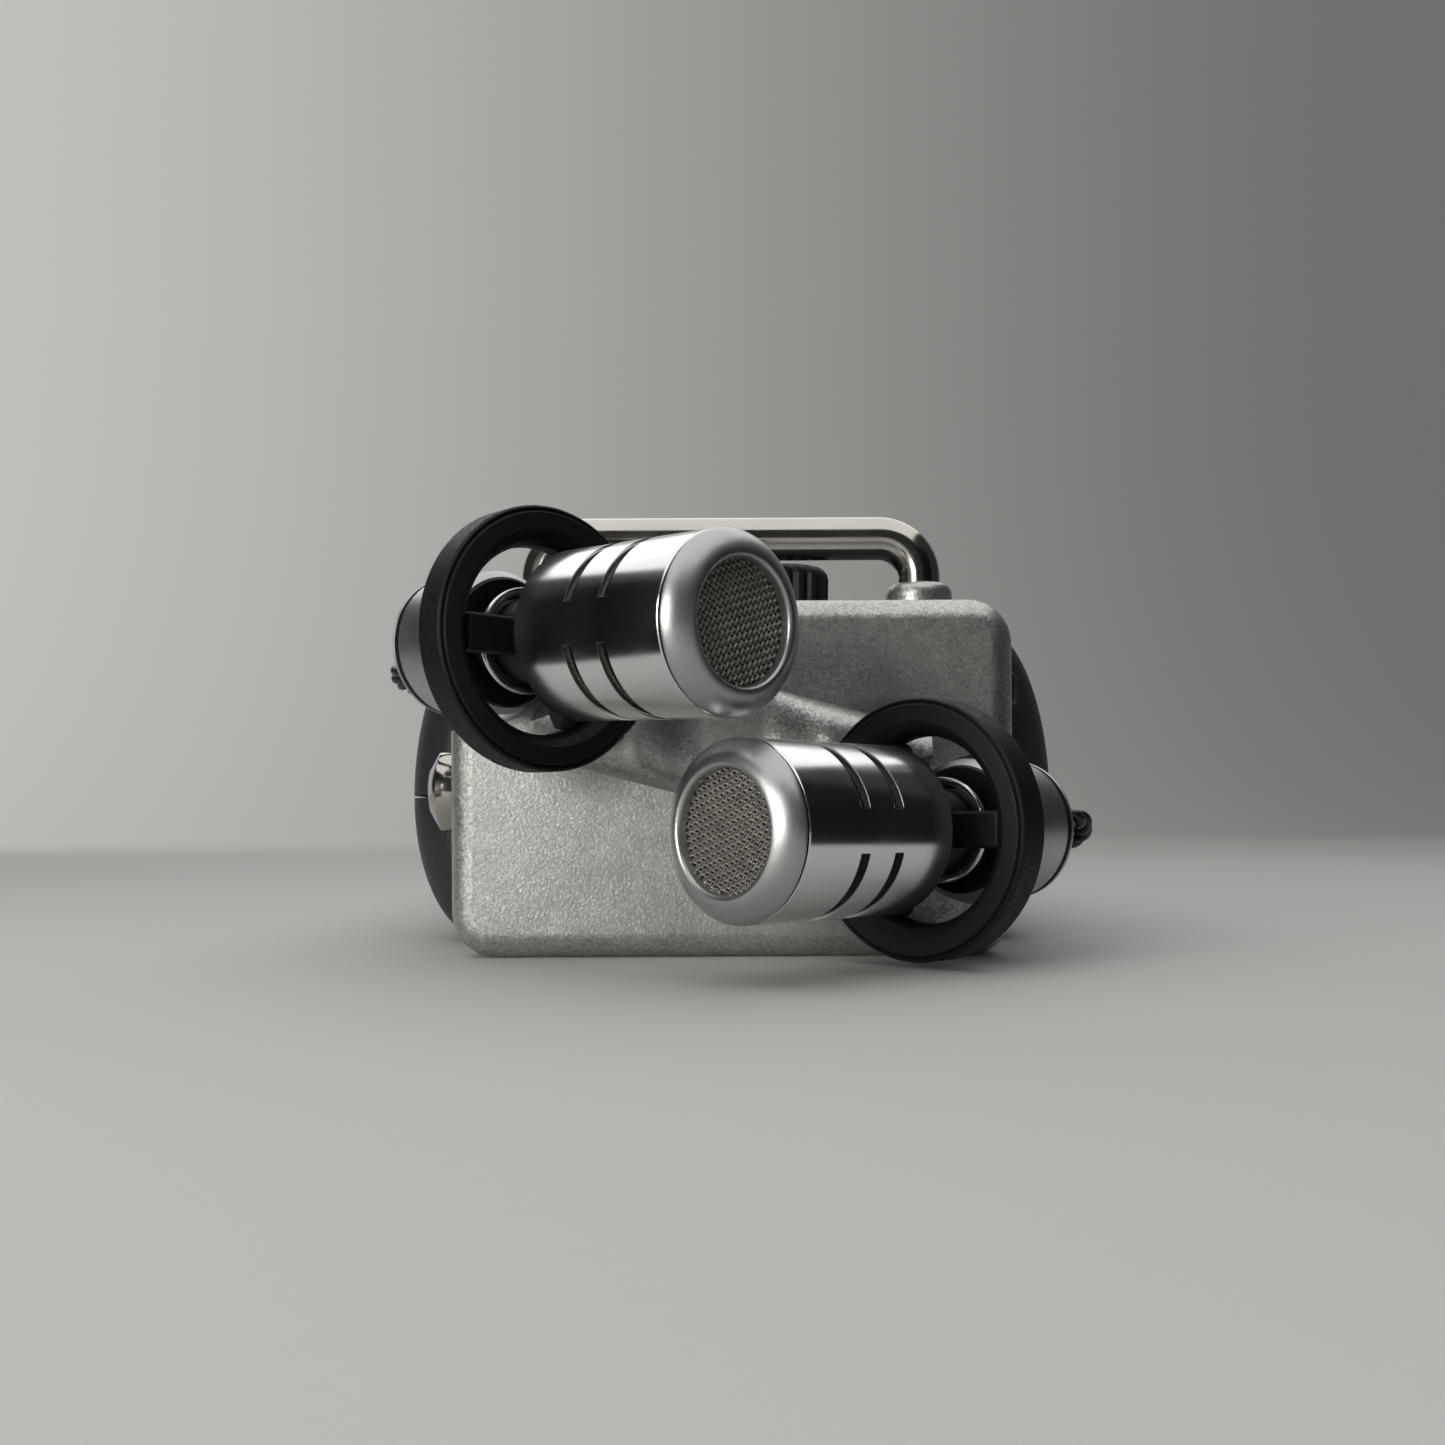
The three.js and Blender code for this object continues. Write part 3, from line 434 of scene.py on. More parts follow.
def raised_bridge():
    """A fine grid drawn up into the bridge's swelling form, then closed behind the face."""
    bpy.ops.object.select_all(action="DESELECT")
    bpy.ops.mesh.primitive_grid_add(x_subdivisions=70, y_subdivisions=30, size=2)
    piece = bpy.context.object
    for vertex in piece.data.vertices:
        x = vertex.co.x * BRIDGE_HALF_LENGTH
        v = math.sin(vertex.co.y * math.pi / 2)
        crown = math.sqrt(max(1 - abs(v) ** 5, 0))
        height = BRIDGE_LOW + BRIDGE_RISE * smoothstep(abs(x), 2.6, 9)
        middle = BRIDGE_MIDDLE + BRIDGE_SLOPE * x
        vertex.co = (x, FACE_Y + 0.3 - (height + 0.3) * crown, middle + v * BRIDGE_HALF_HEIGHT)
    only(piece)
    bpy.ops.object.mode_set(mode="EDIT")
    bpy.ops.mesh.select_all(action="DESELECT")
    bpy.ops.mesh.select_non_manifold()
    bpy.ops.mesh.extrude_region_move(TRANSFORM_OT_translate={"value": (0, 1, 0)})
    bpy.ops.transform.resize(value=(1, 0, 1), center_override=(0, FACE_Y + 1.2, 0))
    bpy.ops.mesh.fill_holes(sides=0)
    done_editing()
    return piece


silver_paint = Finish("silver_flake_paint", {"Metallic": 0.9, "Specular IOR Level": 0.5})
pebbles = silver_paint.node(
    "ShaderNodeTexVoronoi", {"feature": "SMOOTH_F1"},
    {"Vector": silver_paint.place(), "Scale": 4200, "Smoothness": 0.6},
)
flake_cell = silver_paint.node(
    "ShaderNodeTexVoronoi", {}, {"Vector": silver_paint.place(), "Scale": 5400}, "Color"
)
flake_shade = silver_paint.along("X", flake_cell)
flake_lean = silver_paint.node(
    "ShaderNodeVectorMath", {"operation": "SUBTRACT"}, {0: flake_cell, 1: (0.5, 0.5, 0.5)}
)
flake_turn = silver_paint.node(
    "ShaderNodeVectorMath", {"operation": "SCALE"}, {0: flake_lean, "Scale": 0.11}
)
plain_normal = silver_paint.bump(1 - pebbles, 0.12, 0.00012)
leaned = silver_paint.node("ShaderNodeVectorMath", {"operation": "ADD"}, {0: plain_normal, 1: flake_turn})
silver_paint.drive({
    "Base Color": silver_paint.tint(
        flake_shade * 0.6 + silver_paint.noise(500) * 0.4, (0.25, 0.26, 0.243), (0.64, 0.655, 0.62)
    ),
    "Roughness": silver_paint.ramp(silver_paint.noise(2400), 0.32, 0.42),
    "Normal": silver_paint.node("ShaderNodeVectorMath", {"operation": "NORMALIZE"}, {0: leaned}),
})

housing = block(
    (-capsule_half, FACE_Y, 0), (capsule_half, FACE_Y + CAPSULE_DEPTH, capsule_top), CAPSULE_CORNER,
)
pick_edges(housing, lambda a, b: a.y < FACE_Y + 0.01 and b.y < FACE_Y + 0.01)
bpy.ops.mesh.bevel(offset=CAPSULE_FRONT_ROUND, segments=8, affect="EDGES", clamp_overlap=True)
done_editing()
hollow = block(
    (-capsule_half + WALL, FACE_Y + WALL + 4, WALL),
    (capsule_half - WALL, FACE_Y + CAPSULE_DEPTH + 1, capsule_top - WALL),
    2.2,
)
combine(
    hollow, "DIFFERENCE",
    bore("left", SCOOP_RADIUS + 1.6, 0, 24, 0.3),
    bore("right", SCOOP_RADIUS + 1.6, 0, 24),
)
combine(housing, "UNION", raised_bridge())
combine(
    housing, "DIFFERENCE", hollow,
    bore("left", SCOOP_RADIUS, 0, 24, 0.3),
    bore("right", SCOOP_RADIUS, 0, 24),
    bore("left", RING_OUTER + GAP, -6, RING_WIDTH + GAP),
    bore("right", RING_OUTER + GAP, -6, RING_WIDTH + GAP),
)
jack_low, jack_high = box_mm("jack_nut")
jack_middle = (jack_low + jack_high) / 2
inward = Matrix.Rotation(math.pi / 2, 4, "Y")
jack_hole = put(
    turn([(3.2, 0), (3.2, 12)], 48),
    Matrix.Translation((-capsule_half - 4, jack_middle.y, jack_middle.z)) @ inward,
)
dial_low, dial_high = box_mm("mic_level_dial")
dial_slot = block(
    (14, dial_low.y - 1.4, dial_low.z - 0.4), (30, dial_high.y + 1.4, dial_high.z + 0.4),
)
combine(housing, "DIFFERENCE", jack_hole, dial_slot)
soften(housing, 0.3, 2, 40)
fit(housing, "capsule_housing", silver_paint, "capsule", ["capsule_shell"])

# ---------------------------------------------------------------- suspension rings
# Two moulded rubber rings, pressed into their seats on the capsule. Each has a flat front
# band, a small step at its rim, and a bore that tapers in to hold the three arms.

rubber = Finish("moulded_rubber", {"Specular IOR Level": 0.25})
rubber_grain = rubber.noise(2200, 4)
rubber.drive({
    "Base Color": rubber.tint(rubber.noise(260), (0.003, 0.003, 0.0035), (0.008, 0.008, 0.009)),
    "Roughness": rubber.ramp(rubber_grain, 0.42, 0.62),
    "Normal": rubber.bump(rubber_grain, 0.25, 0.00005),
})
RING_INNER = 7.8
ring_profile = [
    (RING_INNER, -RING_WIDTH + 0.5), (RING_INNER + 0.6, -RING_WIDTH), (RING_OUTER - 0.6, -RING_WIDTH),
    (RING_OUTER, -RING_WIDTH + 0.6), (RING_OUTER, -0.3), (RING_OUTER - 0.22, -0.08),
    (RING_OUTER - 0.42, -0.34), (RING_OUTER - 0.56, 0), (RING_INNER + 1.1, 0),
    (RING_INNER + 0.35, -0.7), (RING_INNER, -1.6),
]
SIDES = ("left", "right")


def copies(pattern, matrices):
    """Copies of a piece, one at each place. The pattern itself goes."""
    made = []
    for matrix in matrices:
        copy = pattern.copy()
        copy.data = pattern.data.copy()
        bpy.context.collection.objects.link(copy)
        made.append(put(copy, matrix))
    bpy.data.objects.remove(pattern)
    return made


ring = soften(turn(ring_profile, 144, ends="joined"), 0.09, 3, 18)
for label, copy in zip(SIDES, copies(ring, [SEATS[label] @ LATHE_TO_FORWARD for label in SIDES])):
    fit(copy, f"suspension_ring_{label}", rubber, "capsule", [f"ring_{label}"])

# ---------------------------------------------------------------- microphones
# Each is a polished slotted barrel over a woven wire cup, closed in front by a satin ring.
# It hangs by a black neck and three rubber arms; behind are a collar, housing and cap.

BARREL_RADIUS = 6.8
LEFT_DROOP = math.radians(2.6)
MIC_POSES = {
    "left": SEATS["left"]
    @ Matrix.Translation((0, 0.15 * math.cos(LEFT_DROOP), -0.15 * math.sin(LEFT_DROOP)))
    @ Matrix.Rotation(-LEFT_DROOP, 4, "X"),
    "right": SEATS["right"] @ Matrix.Translation((0, -0.35, 0)),
}

polished = Finish("polished_barrel", {"Metallic": 1.0})
turning_marks = polished.noise(900, 4, (1, 1, 0.15))
smudge = polished.noise(140, 3)
polished.drive({
    "Base Color": polished.tint(smudge, (0.70, 0.71, 0.71), (0.80, 0.81, 0.80)),
    "Roughness": polished.ramp(smudge, 0.13, 0.21),
    "Normal": polished.bump(turning_marks, 0.05, 0.00003),
})
satin = Finish("blasted_satin", {"Metallic": 1.0})
blast = satin.noise(6500, 2)
satin.drive({
    "Base Color": satin.tint(satin.noise(320), (0.40, 0.415, 0.41), (0.47, 0.485, 0.475)),
    "Roughness": satin.ramp(satin.noise(420), 0.33, 0.40),
    "Normal": satin.bump(blast, 0.22, 0.00004),
})
wire = Finish("woven_wire", {"Metallic": 0.85})
wire.drive({
    "Base Color": wire.tint(wire.noise(900), (0.22, 0.205, 0.18), (0.46, 0.43, 0.39)),
    "Roughness": wire.ramp(wire.noise(2400), 0.32, 0.5),
})
lining = Finish("wire_lining", {"Metallic": 0.8})
weave_place = lining.node("ShaderNodeUVMap", {"uv_map": "wrap"})
weave_u = lining.along("X", weave_place)
weave_v = lining.along("Y", weave_place)
LINING_PITCH = 0.42
over, under = (
    lining.node("ShaderNodeMath", {"operation": "SINE"}, {0: crossing * (2 * math.pi / LINING_PITCH)})
    for crossing in (weave_u + weave_v, weave_u - weave_v)
)
# Painted shade: the weave's low parts are coloured dark between the wires, and its raised wires light.
weave_height = over * under * 0.5 + 0.5
lining.drive({
    "Base Color": lining.tint(weave_height, (0.015, 0.013, 0.011), (0.34, 0.31, 0.27)),
    "Roughness": 0.45,
    "Normal": lining.bump(weave_height, 0.9, 0.0002),
})

BARREL_SIDES = 180
SLOT_HALF_WIDTH = 0.52
SLOTS = (10.1, 14)
BRIDGE_ANGLE = math.radians(14)
BARREL_WALL = 0.6


def slotted_barrel():
    """The outer skin is turned with a line at each slot's edge, the slots' faces are taken out
    save for a bridge on each level side, and the skin is then given its wall."""
    slot_edges = [a + side * SLOT_HALF_WIDTH for a in SLOTS for side in (-1, 1)]
    skin = turn(
        [(BARREL_RADIUS - 1.8, 3.7), (BARREL_RADIUS - 0.12, 3.7), (BARREL_RADIUS, 3.85)]
        + [(BARREL_RADIUS, a) for a in slot_edges]
        + [(BARREL_RADIUS, 20.05), (BARREL_RADIUS - 0.1, 20.2)],
        BARREL_SIDES, ends="open",
    )
    only(skin)
    bpy.ops.object.mode_set(mode="EDIT")
    bpy.ops.mesh.select_mode(type="FACE")
    bpy.ops.mesh.select_all(action="DESELECT")
    bpy.ops.object.mode_set(mode="OBJECT")
    for face in skin.data.polygons:
        in_slot = any(abs(face.center.z - a) < SLOT_HALF_WIDTH for a in SLOTS)
        lean = abs(math.atan2(face.center.y, face.center.x))
        face.select = in_slot and BRIDGE_ANGLE < lean < math.pi - BRIDGE_ANGLE
    bpy.ops.object.mode_set(mode="EDIT")
    bpy.ops.mesh.delete(type="FACE")
    bpy.ops.mesh.select_mode(type="VERT")
    bpy.ops.object.mode_set(mode="OBJECT")
    modify(skin, "SOLIDIFY", thickness=BARREL_WALL, offset=-1)
    return soften(skin, 0.06, 2, 40)


def wrap_uv(piece, radius):
    """Unrolls a turned piece round Z, in millimetres, so that a weave follows its wall."""
    layer = piece.data.uv_layers.get("wrap") or piece.data.uv_layers.new(name="wrap")
    for face in piece.data.polygons:
        middle = math.atan2(face.center.y, face.center.x)
        for loop in face.loop_indices:
            point = piece.data.vertices[piece.data.loops[loop].vertex_index].co
            angle = math.atan2(point.y, point.x)
            if angle - middle > math.pi:
                angle -= 2 * math.pi
            if middle - angle > math.pi:
                angle += 2 * math.pi
            layer.data[loop].uv = (angle * radius, point.z)


def arc_points(middle, radius_x, radius_z, start, end, steps, power=1.0):
    """Points along a quarter round in a lathe profile, flattened when power is below 1."""
    points = []
    for k in range(steps + 1):
        angle = math.radians(start + (end - start) * k / steps)
        x, z = math.cos(angle), math.sin(angle)
        x = math.copysign(abs(x) ** power, x)
        z = math.copysign(abs(z) ** power, z)
        points.append((middle[0] + radius_x * x, middle[1] + radius_z * z))
    return points


barrel = slotted_barrel()

bezel = turn(
    [(6.2, 20.42)]
    + arc_points((4.95, 20.5), BARREL_RADIUS - 4.95, 1.6, 0, 90, 14, 1.28)
    + arc_points((4.95, 21.75), 0.36, 0.35, 90, 180, 5)
    + [(4.58, 21.2), (6.2, 20.9)],
    160, ends="joined",
)

WIRE_PITCH = 0.39
WIRE_RADIUS = 0.1
WEAVE_TURN = math.radians(-27)
DISC_RADIUS = 4.95
DISC_FORWARD = 21.0


def woven_disc():
    """Plain weave: each wire is a wavy line that passes over and under the ones across it."""
    curve = bpy.data.curves.new("weave", "CURVE")
    curve.dimensions = "3D"
    curve.bevel_depth = WIRE_RADIUS
    curve.bevel_resolution = 1
    half_count = int(DISC_RADIUS / WIRE_PITCH)
    for across in (False, True):
        for k in range(-half_count, half_count + 1):
            offset = (k + 0.5) * WIRE_PITCH
            if abs(offset) >= DISC_RADIUS:
                continue
            reach = math.sqrt(DISC_RADIUS ** 2 - offset ** 2)
            steps = max(int(2 * reach / WIRE_PITCH * 4), 4)
            line = curve.splines.new("POLY")
            line.points.add(steps)
            for j in range(steps + 1):
                along = -reach + 2 * reach * j / steps
                wave = math.cos(math.pi * along / WIRE_PITCH) * (-1) ** k
                lift = WIRE_RADIUS * 0.85 * (wave if across else -wave)
                x, y = (offset, along) if across else (along, offset)
                turned_x = x * math.cos(WEAVE_TURN) - y * math.sin(WEAVE_TURN)
                turned_y = x * math.sin(WEAVE_TURN) + y * math.cos(WEAVE_TURN)
                crown = 0.22 * (1 - (x * x + y * y) / DISC_RADIUS ** 2)
                line.points[j].co = (turned_x, turned_y, DISC_FORWARD + crown + lift, 1)
    piece = bpy.data.objects.new("weave", curve)
    bpy.context.collection.objects.link(piece)
    only(piece)
    bpy.ops.object.convert(target="MESH")
    return bpy.context.object


weave = woven_disc()
cup = turn(
    [(5.35, 5.5), (5.9, 5.5), (5.9, 20.2), (5.4, 20.62), (4.9, 20.66), (4.9, 20.3), (5.35, 20.1)],
    96, ends="joined",
)
wrap_uv(cup, 5.9)
element = turn(
    [(4.6, 12.5), (4.85, 12.8), (4.85, 19.6), (4.6, 19.9), (3.2, 20.0), (3.0, 19.7), (0.4, 19.6)], 64,
)

neck = turn([(3.5, -6.2), (3.5, 2.8), (3.8, 3.1), (4.7, 3.2), (4.7, 8)], 72)
soften(neck, 0.12, 2, 30)
ARM_HALF_WIDTH = 1.5
for k in range(3):
    arm = block((3.0, -ARM_HALF_WIDTH, -3), (RING_INNER - 0.1, ARM_HALF_WIDTH, -0.9), edge=0.3)
    combine(neck, "UNION", put(arm, Matrix.Rotation(math.radians(120 * k), 4, "Z")))

collar = turn([(3.8, -4.3), (4.45, -4.3), (4.45, -3.7), (3.8, -3.7)], 96, ends="joined")
soften(collar, 0.12, 3)
rear_housing = turn([(5.6, -13.9), (6.0, -13.9), (6.1, -13.75), (6.1, -7.2), (5.55, -6.5)], 128)
soften(rear_housing, 0.06, 2, 30)
front_gasket = turn([(5.35, -6.52), (5.45, -6.4), (5.35, -6.28), (3.9, -6.25), (3.55, -6.5)], 96)
band = turn([(5.8, -14.6), (5.95, -14.55), (5.95, -13.85), (5.8, -13.8)], 128)
end_cap = turn([(6.02, -14.5)] + arc_points((0, -14.6), 6.1, 1.2, 0, -82, 14), 128)
boot = turn([(1.7, -15.6), (1.7, -16.0), (1.25, -16.3), (1.15, -17.1), (0.9, -17.25)], 40)
soften(boot, 0.08, 2, 25)

MIC_PIECES = [
    (barrel, "slotted_barrel", polished, "polished_metal", ["barrel"]),
    (bezel, "front_ring", satin, "satin_metal", ["bezel"]),
    (weave, "woven_front", wire, "wire_mesh", ["grille"]),
    (cup, "woven_cup", lining, "wire_mesh", []),
    (element, "element_can", lining, "wire_mesh", []),
    (neck, "hanging_neck", rubber, "black_rubber", ["neck"]),
    (collar, "thin_collar", polished, "polished_metal", ["collar"]),
    (rear_housing, "rear_housing", satin, "satin_metal", ["housing"]),
    (front_gasket, "front_gasket", rubber, "black_rubber", []),
    (band, "dark_band", rubber, "black_rubber", []),
    (end_cap, "end_cap", satin, "satin_metal", ["cap"]),
    (boot, "lead_boot", rubber, "black_rubber", []),
]
for pattern, title, finish, slot, parts in MIC_PIECES:
    places = [MIC_POSES[label] @ LATHE_TO_FORWARD for label in SIDES]
    if title == "hanging_neck":
        places[1] = places[1] @ Matrix.Rotation(math.pi, 4, "Z")
    for label, piece in zip(SIDES, copies(pattern, places)):
        nodes = [f"mic_{label}_{part}" for part in parts]
        fit(piece, f"{title}_{label}", finish, f"mic_{label}", nodes)

# ---------------------------------------------------------------- signal leads
# A twisted pair of thin black wires runs from each microphone's boot round to the capsule's
# side wall, held at both ends, where a small grommet takes it in.

LEADS = {
    "left": [(-26.1, 1.5, 28.1), (-28.6, 3.3, 27.8), (-30.8, 5.8, 26.6), (-31.1, 8.8, 25.7),
             (-29.2, 11.8, 25.3), (-25.7, 12.6, 25.2)],
    "right": [(26.5, 1.9, 11.35), (29.3, 4, 11.9), (32.4, 6.2, 12.3), (33.3, 8.6, 11.1),
              (32, 11.2, 10), (28.8, 12.5, 9.9), (25.7, 12.6, 9.9)],
}
STRAND_RADIUS = 0.46
TWIST_PITCH = 3.1


def smooth_route(points, steps):
    """Catmull-Rom points through a short list, evenly shared between its stretches."""
    points = [Vector(p) for p in points]
    padded = [2 * points[0] - points[1], *points, 2 * points[-1] - points[-2]]
    route = []
    for k in range(len(points) - 1):
        a, b, c, d = padded[k:k + 4]
        for j in range(steps):
            t = j / steps
            route.append(0.5 * (2 * b + (c - a) * t + (2 * a - 5 * b + 4 * c - d) * t ** 2
                                + (3 * b - a - 3 * c + d) * t ** 3))
    return [*route, points[-1]]


def tube(paths, radius, resolution=3):
    curve = bpy.data.curves.new("tube", "CURVE")
    curve.dimensions = "3D"
    curve.bevel_depth = radius
    curve.bevel_resolution = resolution
    curve.use_fill_caps = True
    for path in paths:
        line = curve.splines.new("POLY")
        line.points.add(len(path) - 1)
        for point, place in zip(line.points, path):
            point.co = (*place, 1)
    piece = bpy.data.objects.new("tube", curve)
    bpy.context.collection.objects.link(piece)
    only(piece)
    bpy.ops.object.convert(target="MESH")
    return bpy.context.object


def twisted(route, strands=2):
    """Strands wound round a route, each offset from it and turned along its length."""
    paths = [[] for _ in range(strands)]
    side = Vector((0, 0, 1))
    travelled = 0
    for k, point in enumerate(route):
        ahead = route[min(k + 1, len(route) - 1)] - route[max(k - 1, 0)]
        ahead.normalize()
        side = (side - ahead * side.dot(ahead)).normalized()
        travelled += (point - route[k - 1]).length if k else 0
        for j, path in enumerate(paths):
            angle = 2 * math.pi * (travelled / TWIST_PITCH + j / strands)
            lean = side * math.cos(angle) + ahead.cross(side) * math.sin(angle)
            path.append(point + STRAND_RADIUS * 1.02 * lean)
    return paths


insulation = Finish("wire_insulation", {"Specular IOR Level": 0.6})
insulation.drive({
    "Base Color": insulation.tint(insulation.noise(700), (0.008, 0.008, 0.01), (0.02, 0.02, 0.024)),
    "Roughness": insulation.ramp(insulation.noise(900), 0.2, 0.34),
    "Normal": insulation.bump(insulation.noise(1500), 0.2, 0.00005),
})
for label, points in LEADS.items():
    places = [(x, y + FACE_Y, z) for x, y, z in points]
    pair = tube(twisted(smooth_route(places, 16)), STRAND_RADIUS)
    fit(pair, f"twisted_lead_{label}", insulation, "capsule", [f"mic_{label}_lead"])
    side = -1 if label == "left" else 1
    grommet = turn([(1.9, -0.3), (1.9, 0.35), (1.6, 0.6), (1.35, 0.65)], 40)
    soften(grommet, 0.1, 2, 25)
    put(grommet, Matrix.Rotation(side * math.pi / 2, 4, "Y"))
    put(grommet, Matrix.Translation((side * capsule_half, places[-1][1], places[-1][2])))
    fit(grommet, f"lead_grommet_{label}", rubber, "capsule")

# ---------------------------------------------------------------- line input jack
# A bright nickel nut with a coned face holds the 3.5 mm jack in the capsule's left wall. The
# jack's own black bore is seen inside it.

nickel = Finish("bright_nickel", {"Metallic": 1.0})
nickel_marks = nickel.noise(1600, 4, (0.2, 1, 1))
nickel.drive({
    "Base Color": nickel.tint(nickel.noise(120), (0.44, 0.415, 0.375), (0.56, 0.53, 0.485)),
    "Roughness": nickel.ramp(nickel.noise(300), 0.10, 0.19),
    "Normal": nickel.bump(nickel_marks, 0.06, 0.00003),
})
JACK_NUT_RADIUS = 3.8
JACK_BORE = 1.8
nut = turn(
    [(JACK_BORE, -6), (2.9, -6), (2.9, 0.05), (JACK_NUT_RADIUS, 0.05), (JACK_NUT_RADIUS, 2), (2.25, 2.95),
     (JACK_BORE + 0.12, 3), (JACK_BORE, 2.85)],
    96, ends="joined",
)
soften(nut, 0.08, 2, 25)
out_left = Matrix.Translation((-capsule_half, jack_middle.y, jack_middle.z))
out_left = out_left @ Matrix.Rotation(-math.pi / 2, 4, "Y")
fit(put(nut, out_left), "coned_jack_nut", nickel, "capsule", ["jack_nut"])
throat = turn(
    [(JACK_BORE, -5.8), (JACK_BORE, 2.4), (JACK_BORE - 0.25, 2.4), (JACK_BORE - 0.25, -5.2)], 48, ends="open",
)
modify(throat, "SOLIDIFY", thickness=0.02, offset=1)
fit(put(throat, out_left), "jack_throat", rubber, "capsule")

# ---------------------------------------------------------------- microphone level dial
# An edge dial of black plastic that stands a little out of a slot in the capsule's right
# wall, with a knurled rim and a moulded hub.

plastic = Finish("moulded_plastic", {"Specular IOR Level": 0.4})
spark = plastic.noise(3800, 3)
plastic.drive({
    "Base Color": plastic.tint(plastic.noise(180), (0.010, 0.010, 0.011), (0.019, 0.019, 0.021)),
    "Roughness": plastic.ramp(spark, 0.40, 0.58),
    "Normal": plastic.bump(spark, 0.3, 0.00005),
})


def knurl(piece, count, depth, low, high, least=0.0):
    """Draws the points between two heights in and out round Z, to make flutes."""
    for vertex in piece.data.vertices:
        radius = math.hypot(vertex.co.x, vertex.co.y)
        if low < vertex.co.z < high and radius > least:
            wave = math.cos(count * math.atan2(vertex.co.y, vertex.co.x))
            shrink = 1 - depth * max(wave, -0.25) / radius
            vertex.co.x *= shrink
            vertex.co.y *= shrink
    return piece


dial_middle = (dial_low + dial_high) / 2
dial_radius = (dial_high.x - dial_low.x) / 2
dial_half = (dial_high.z - dial_low.z) / 2
edge_dial = turn(
    [(1.2, -dial_half), (dial_radius - 0.4, -dial_half), (dial_radius - 0.08, -dial_half + 0.3),
     (dial_radius - 0.08, dial_half - 0.3), (dial_radius - 0.4, dial_half), (2.2, dial_half),
     (2.0, dial_half - 0.4), (1.2, dial_half - 0.4)],
    192, ends="filled",
)
knurl(edge_dial, 32, 0.17, -dial_half - 1, dial_half + 1, dial_radius - 0.6)
fit(put(edge_dial, Matrix.Translation(dial_middle)), "edge_dial", plastic,
    "mic_level_dial", ["mic_level_dial"])

# ---------------------------------------------------------------- main unit shells
# Two moulded half shells meet at a seam along the widest level. Their section is flat above
# and below with full, rounded sides, and they are screwed together from underneath.

SEAM_HEIGHT = 15
BODY_TOP = 32.8
BODY_WIDTH = 33.4
BODY_FRONT = body_front
body_back = box_mm("upper_shell")[1].y
BODY_LENGTH = body_back - BODY_FRONT
SECTION_STEPS = 22
STATION_STEPS = 64


def bezier(a, b, c, d, t):
    return a * (1 - t) ** 3 + 3 * b * t * (1 - t) ** 2 + 3 * c * t * t * (1 - t) + d * t ** 3


def half_width_at(y):
    """A quick shoulder behind the capsule, then a slight taper towards the sockets."""
    shoulder = min((y - BODY_FRONT) / 8, 1)
    return BODY_WIDTH - 5.4 * (1 - shoulder) ** 2.4 - 2.6 * smoothstep(y - FACE_Y, 60, 190)


def section_point(u, half_width, low, high):
    """A point round the section, from the middle of the base (0) up the right side and back (1)."""
    across = u * 2 if u <= 0.5 else (1 - u) * 2
    side = 1 if u <= 0.5 else -1
    seam = low + SEAM_HEIGHT / BODY_TOP * (high - low)
    flat = half_width - 7.8
    if across < 0.2:
        return side * flat * across / 0.2, low
    if across > 0.8:
        return side * flat * (1 - across) / 0.2, high
    if across < 0.5:
        t = (across - 0.2) / 0.3
        return (side * bezier(flat, half_width - 3.1, half_width, half_width, t),
                bezier(low, low, seam - 8.2, seam, t))
    t = (across - 0.5) / 0.3
    return (side * bezier(half_width, half_width, half_width - 2.3, flat, t),
            bezier(seam, seam + 6.8, high, high, t))


def body_skin():
    """A grid wrapped round the section and drawn along the unit, closed by a face at each end."""
    around = SECTION_STEPS * 10
    bpy.ops.object.select_all(action="DESELECT")
    bpy.ops.mesh.primitive_grid_add(x_subdivisions=around, y_subdivisions=STATION_STEPS, size=1)
    skin = bpy.context.object
    for vertex in skin.data.vertices:
        u, v = vertex.co.x + 0.5, vertex.co.y + 0.5
        eased = 0.5 - 0.5 * math.cos(math.pi * v)
        y = BODY_FRONT + BODY_LENGTH * (0.3 * v + 0.7 * eased)
        from_back = body_back - y
        back_round = 2.6 * (1 - math.sqrt(1 - (1 - from_back / 4) ** 2)) if from_back < 4 else 0
        front_round = 0.9 * (1 - (y - BODY_FRONT) / 2) ** 2 if y - BODY_FRONT < 2 else 0
        drop = back_round * 0.7 + front_round
        x, z = section_point(u, half_width_at(y) - back_round, drop, BODY_TOP - drop)
        vertex.co = (x, y, z)
    only(skin)
    bpy.ops.object.mode_set(mode="EDIT")
    bpy.ops.mesh.select_all(action="SELECT")
    bpy.ops.mesh.remove_doubles(threshold=0.001)
    bpy.ops.mesh.fill_holes(sides=0)
    done_editing()
    return skin


def half_shell(keep_upper):
    """Half of the skin, cut at the seam with a fine gap, and given its wall."""
    shell = body_skin()
    level = SEAM_HEIGHT + (0.12 if keep_upper else -0.12)
    only(shell)
    bpy.ops.object.mode_set(mode="EDIT")
    bpy.ops.mesh.select_all(action="SELECT")
    bpy.ops.mesh.bisect(
        plane_co=(0, 0, level), plane_no=(0, 0, 1), clear_inner=keep_upper, clear_outer=not keep_upper,
    )
    bpy.ops.object.mode_set(mode="OBJECT")
    modify(shell, "SOLIDIFY", thickness=WALL, offset=-1, use_even_offset=True)
    return shell


def post(x, y, radius, low, high, sides=64):
    return put(turn([(radius, low), (radius, high)], sides), Matrix.Translation((x, y, 0)))


def centre_mm(node):
    low, high = box_mm(node)
    return (low + high) / 2, (high - low) / 2


def plate(middle, half, low, high, corner=0.0, edge=0.0):
    """A level block round a middle, with half sizes across and along, between two heights."""
    return block(
        (middle.x - half[0], middle.y - half[1], low), (middle.x + half[0], middle.y + half[1], high),
        corner, 2, edge,
    )


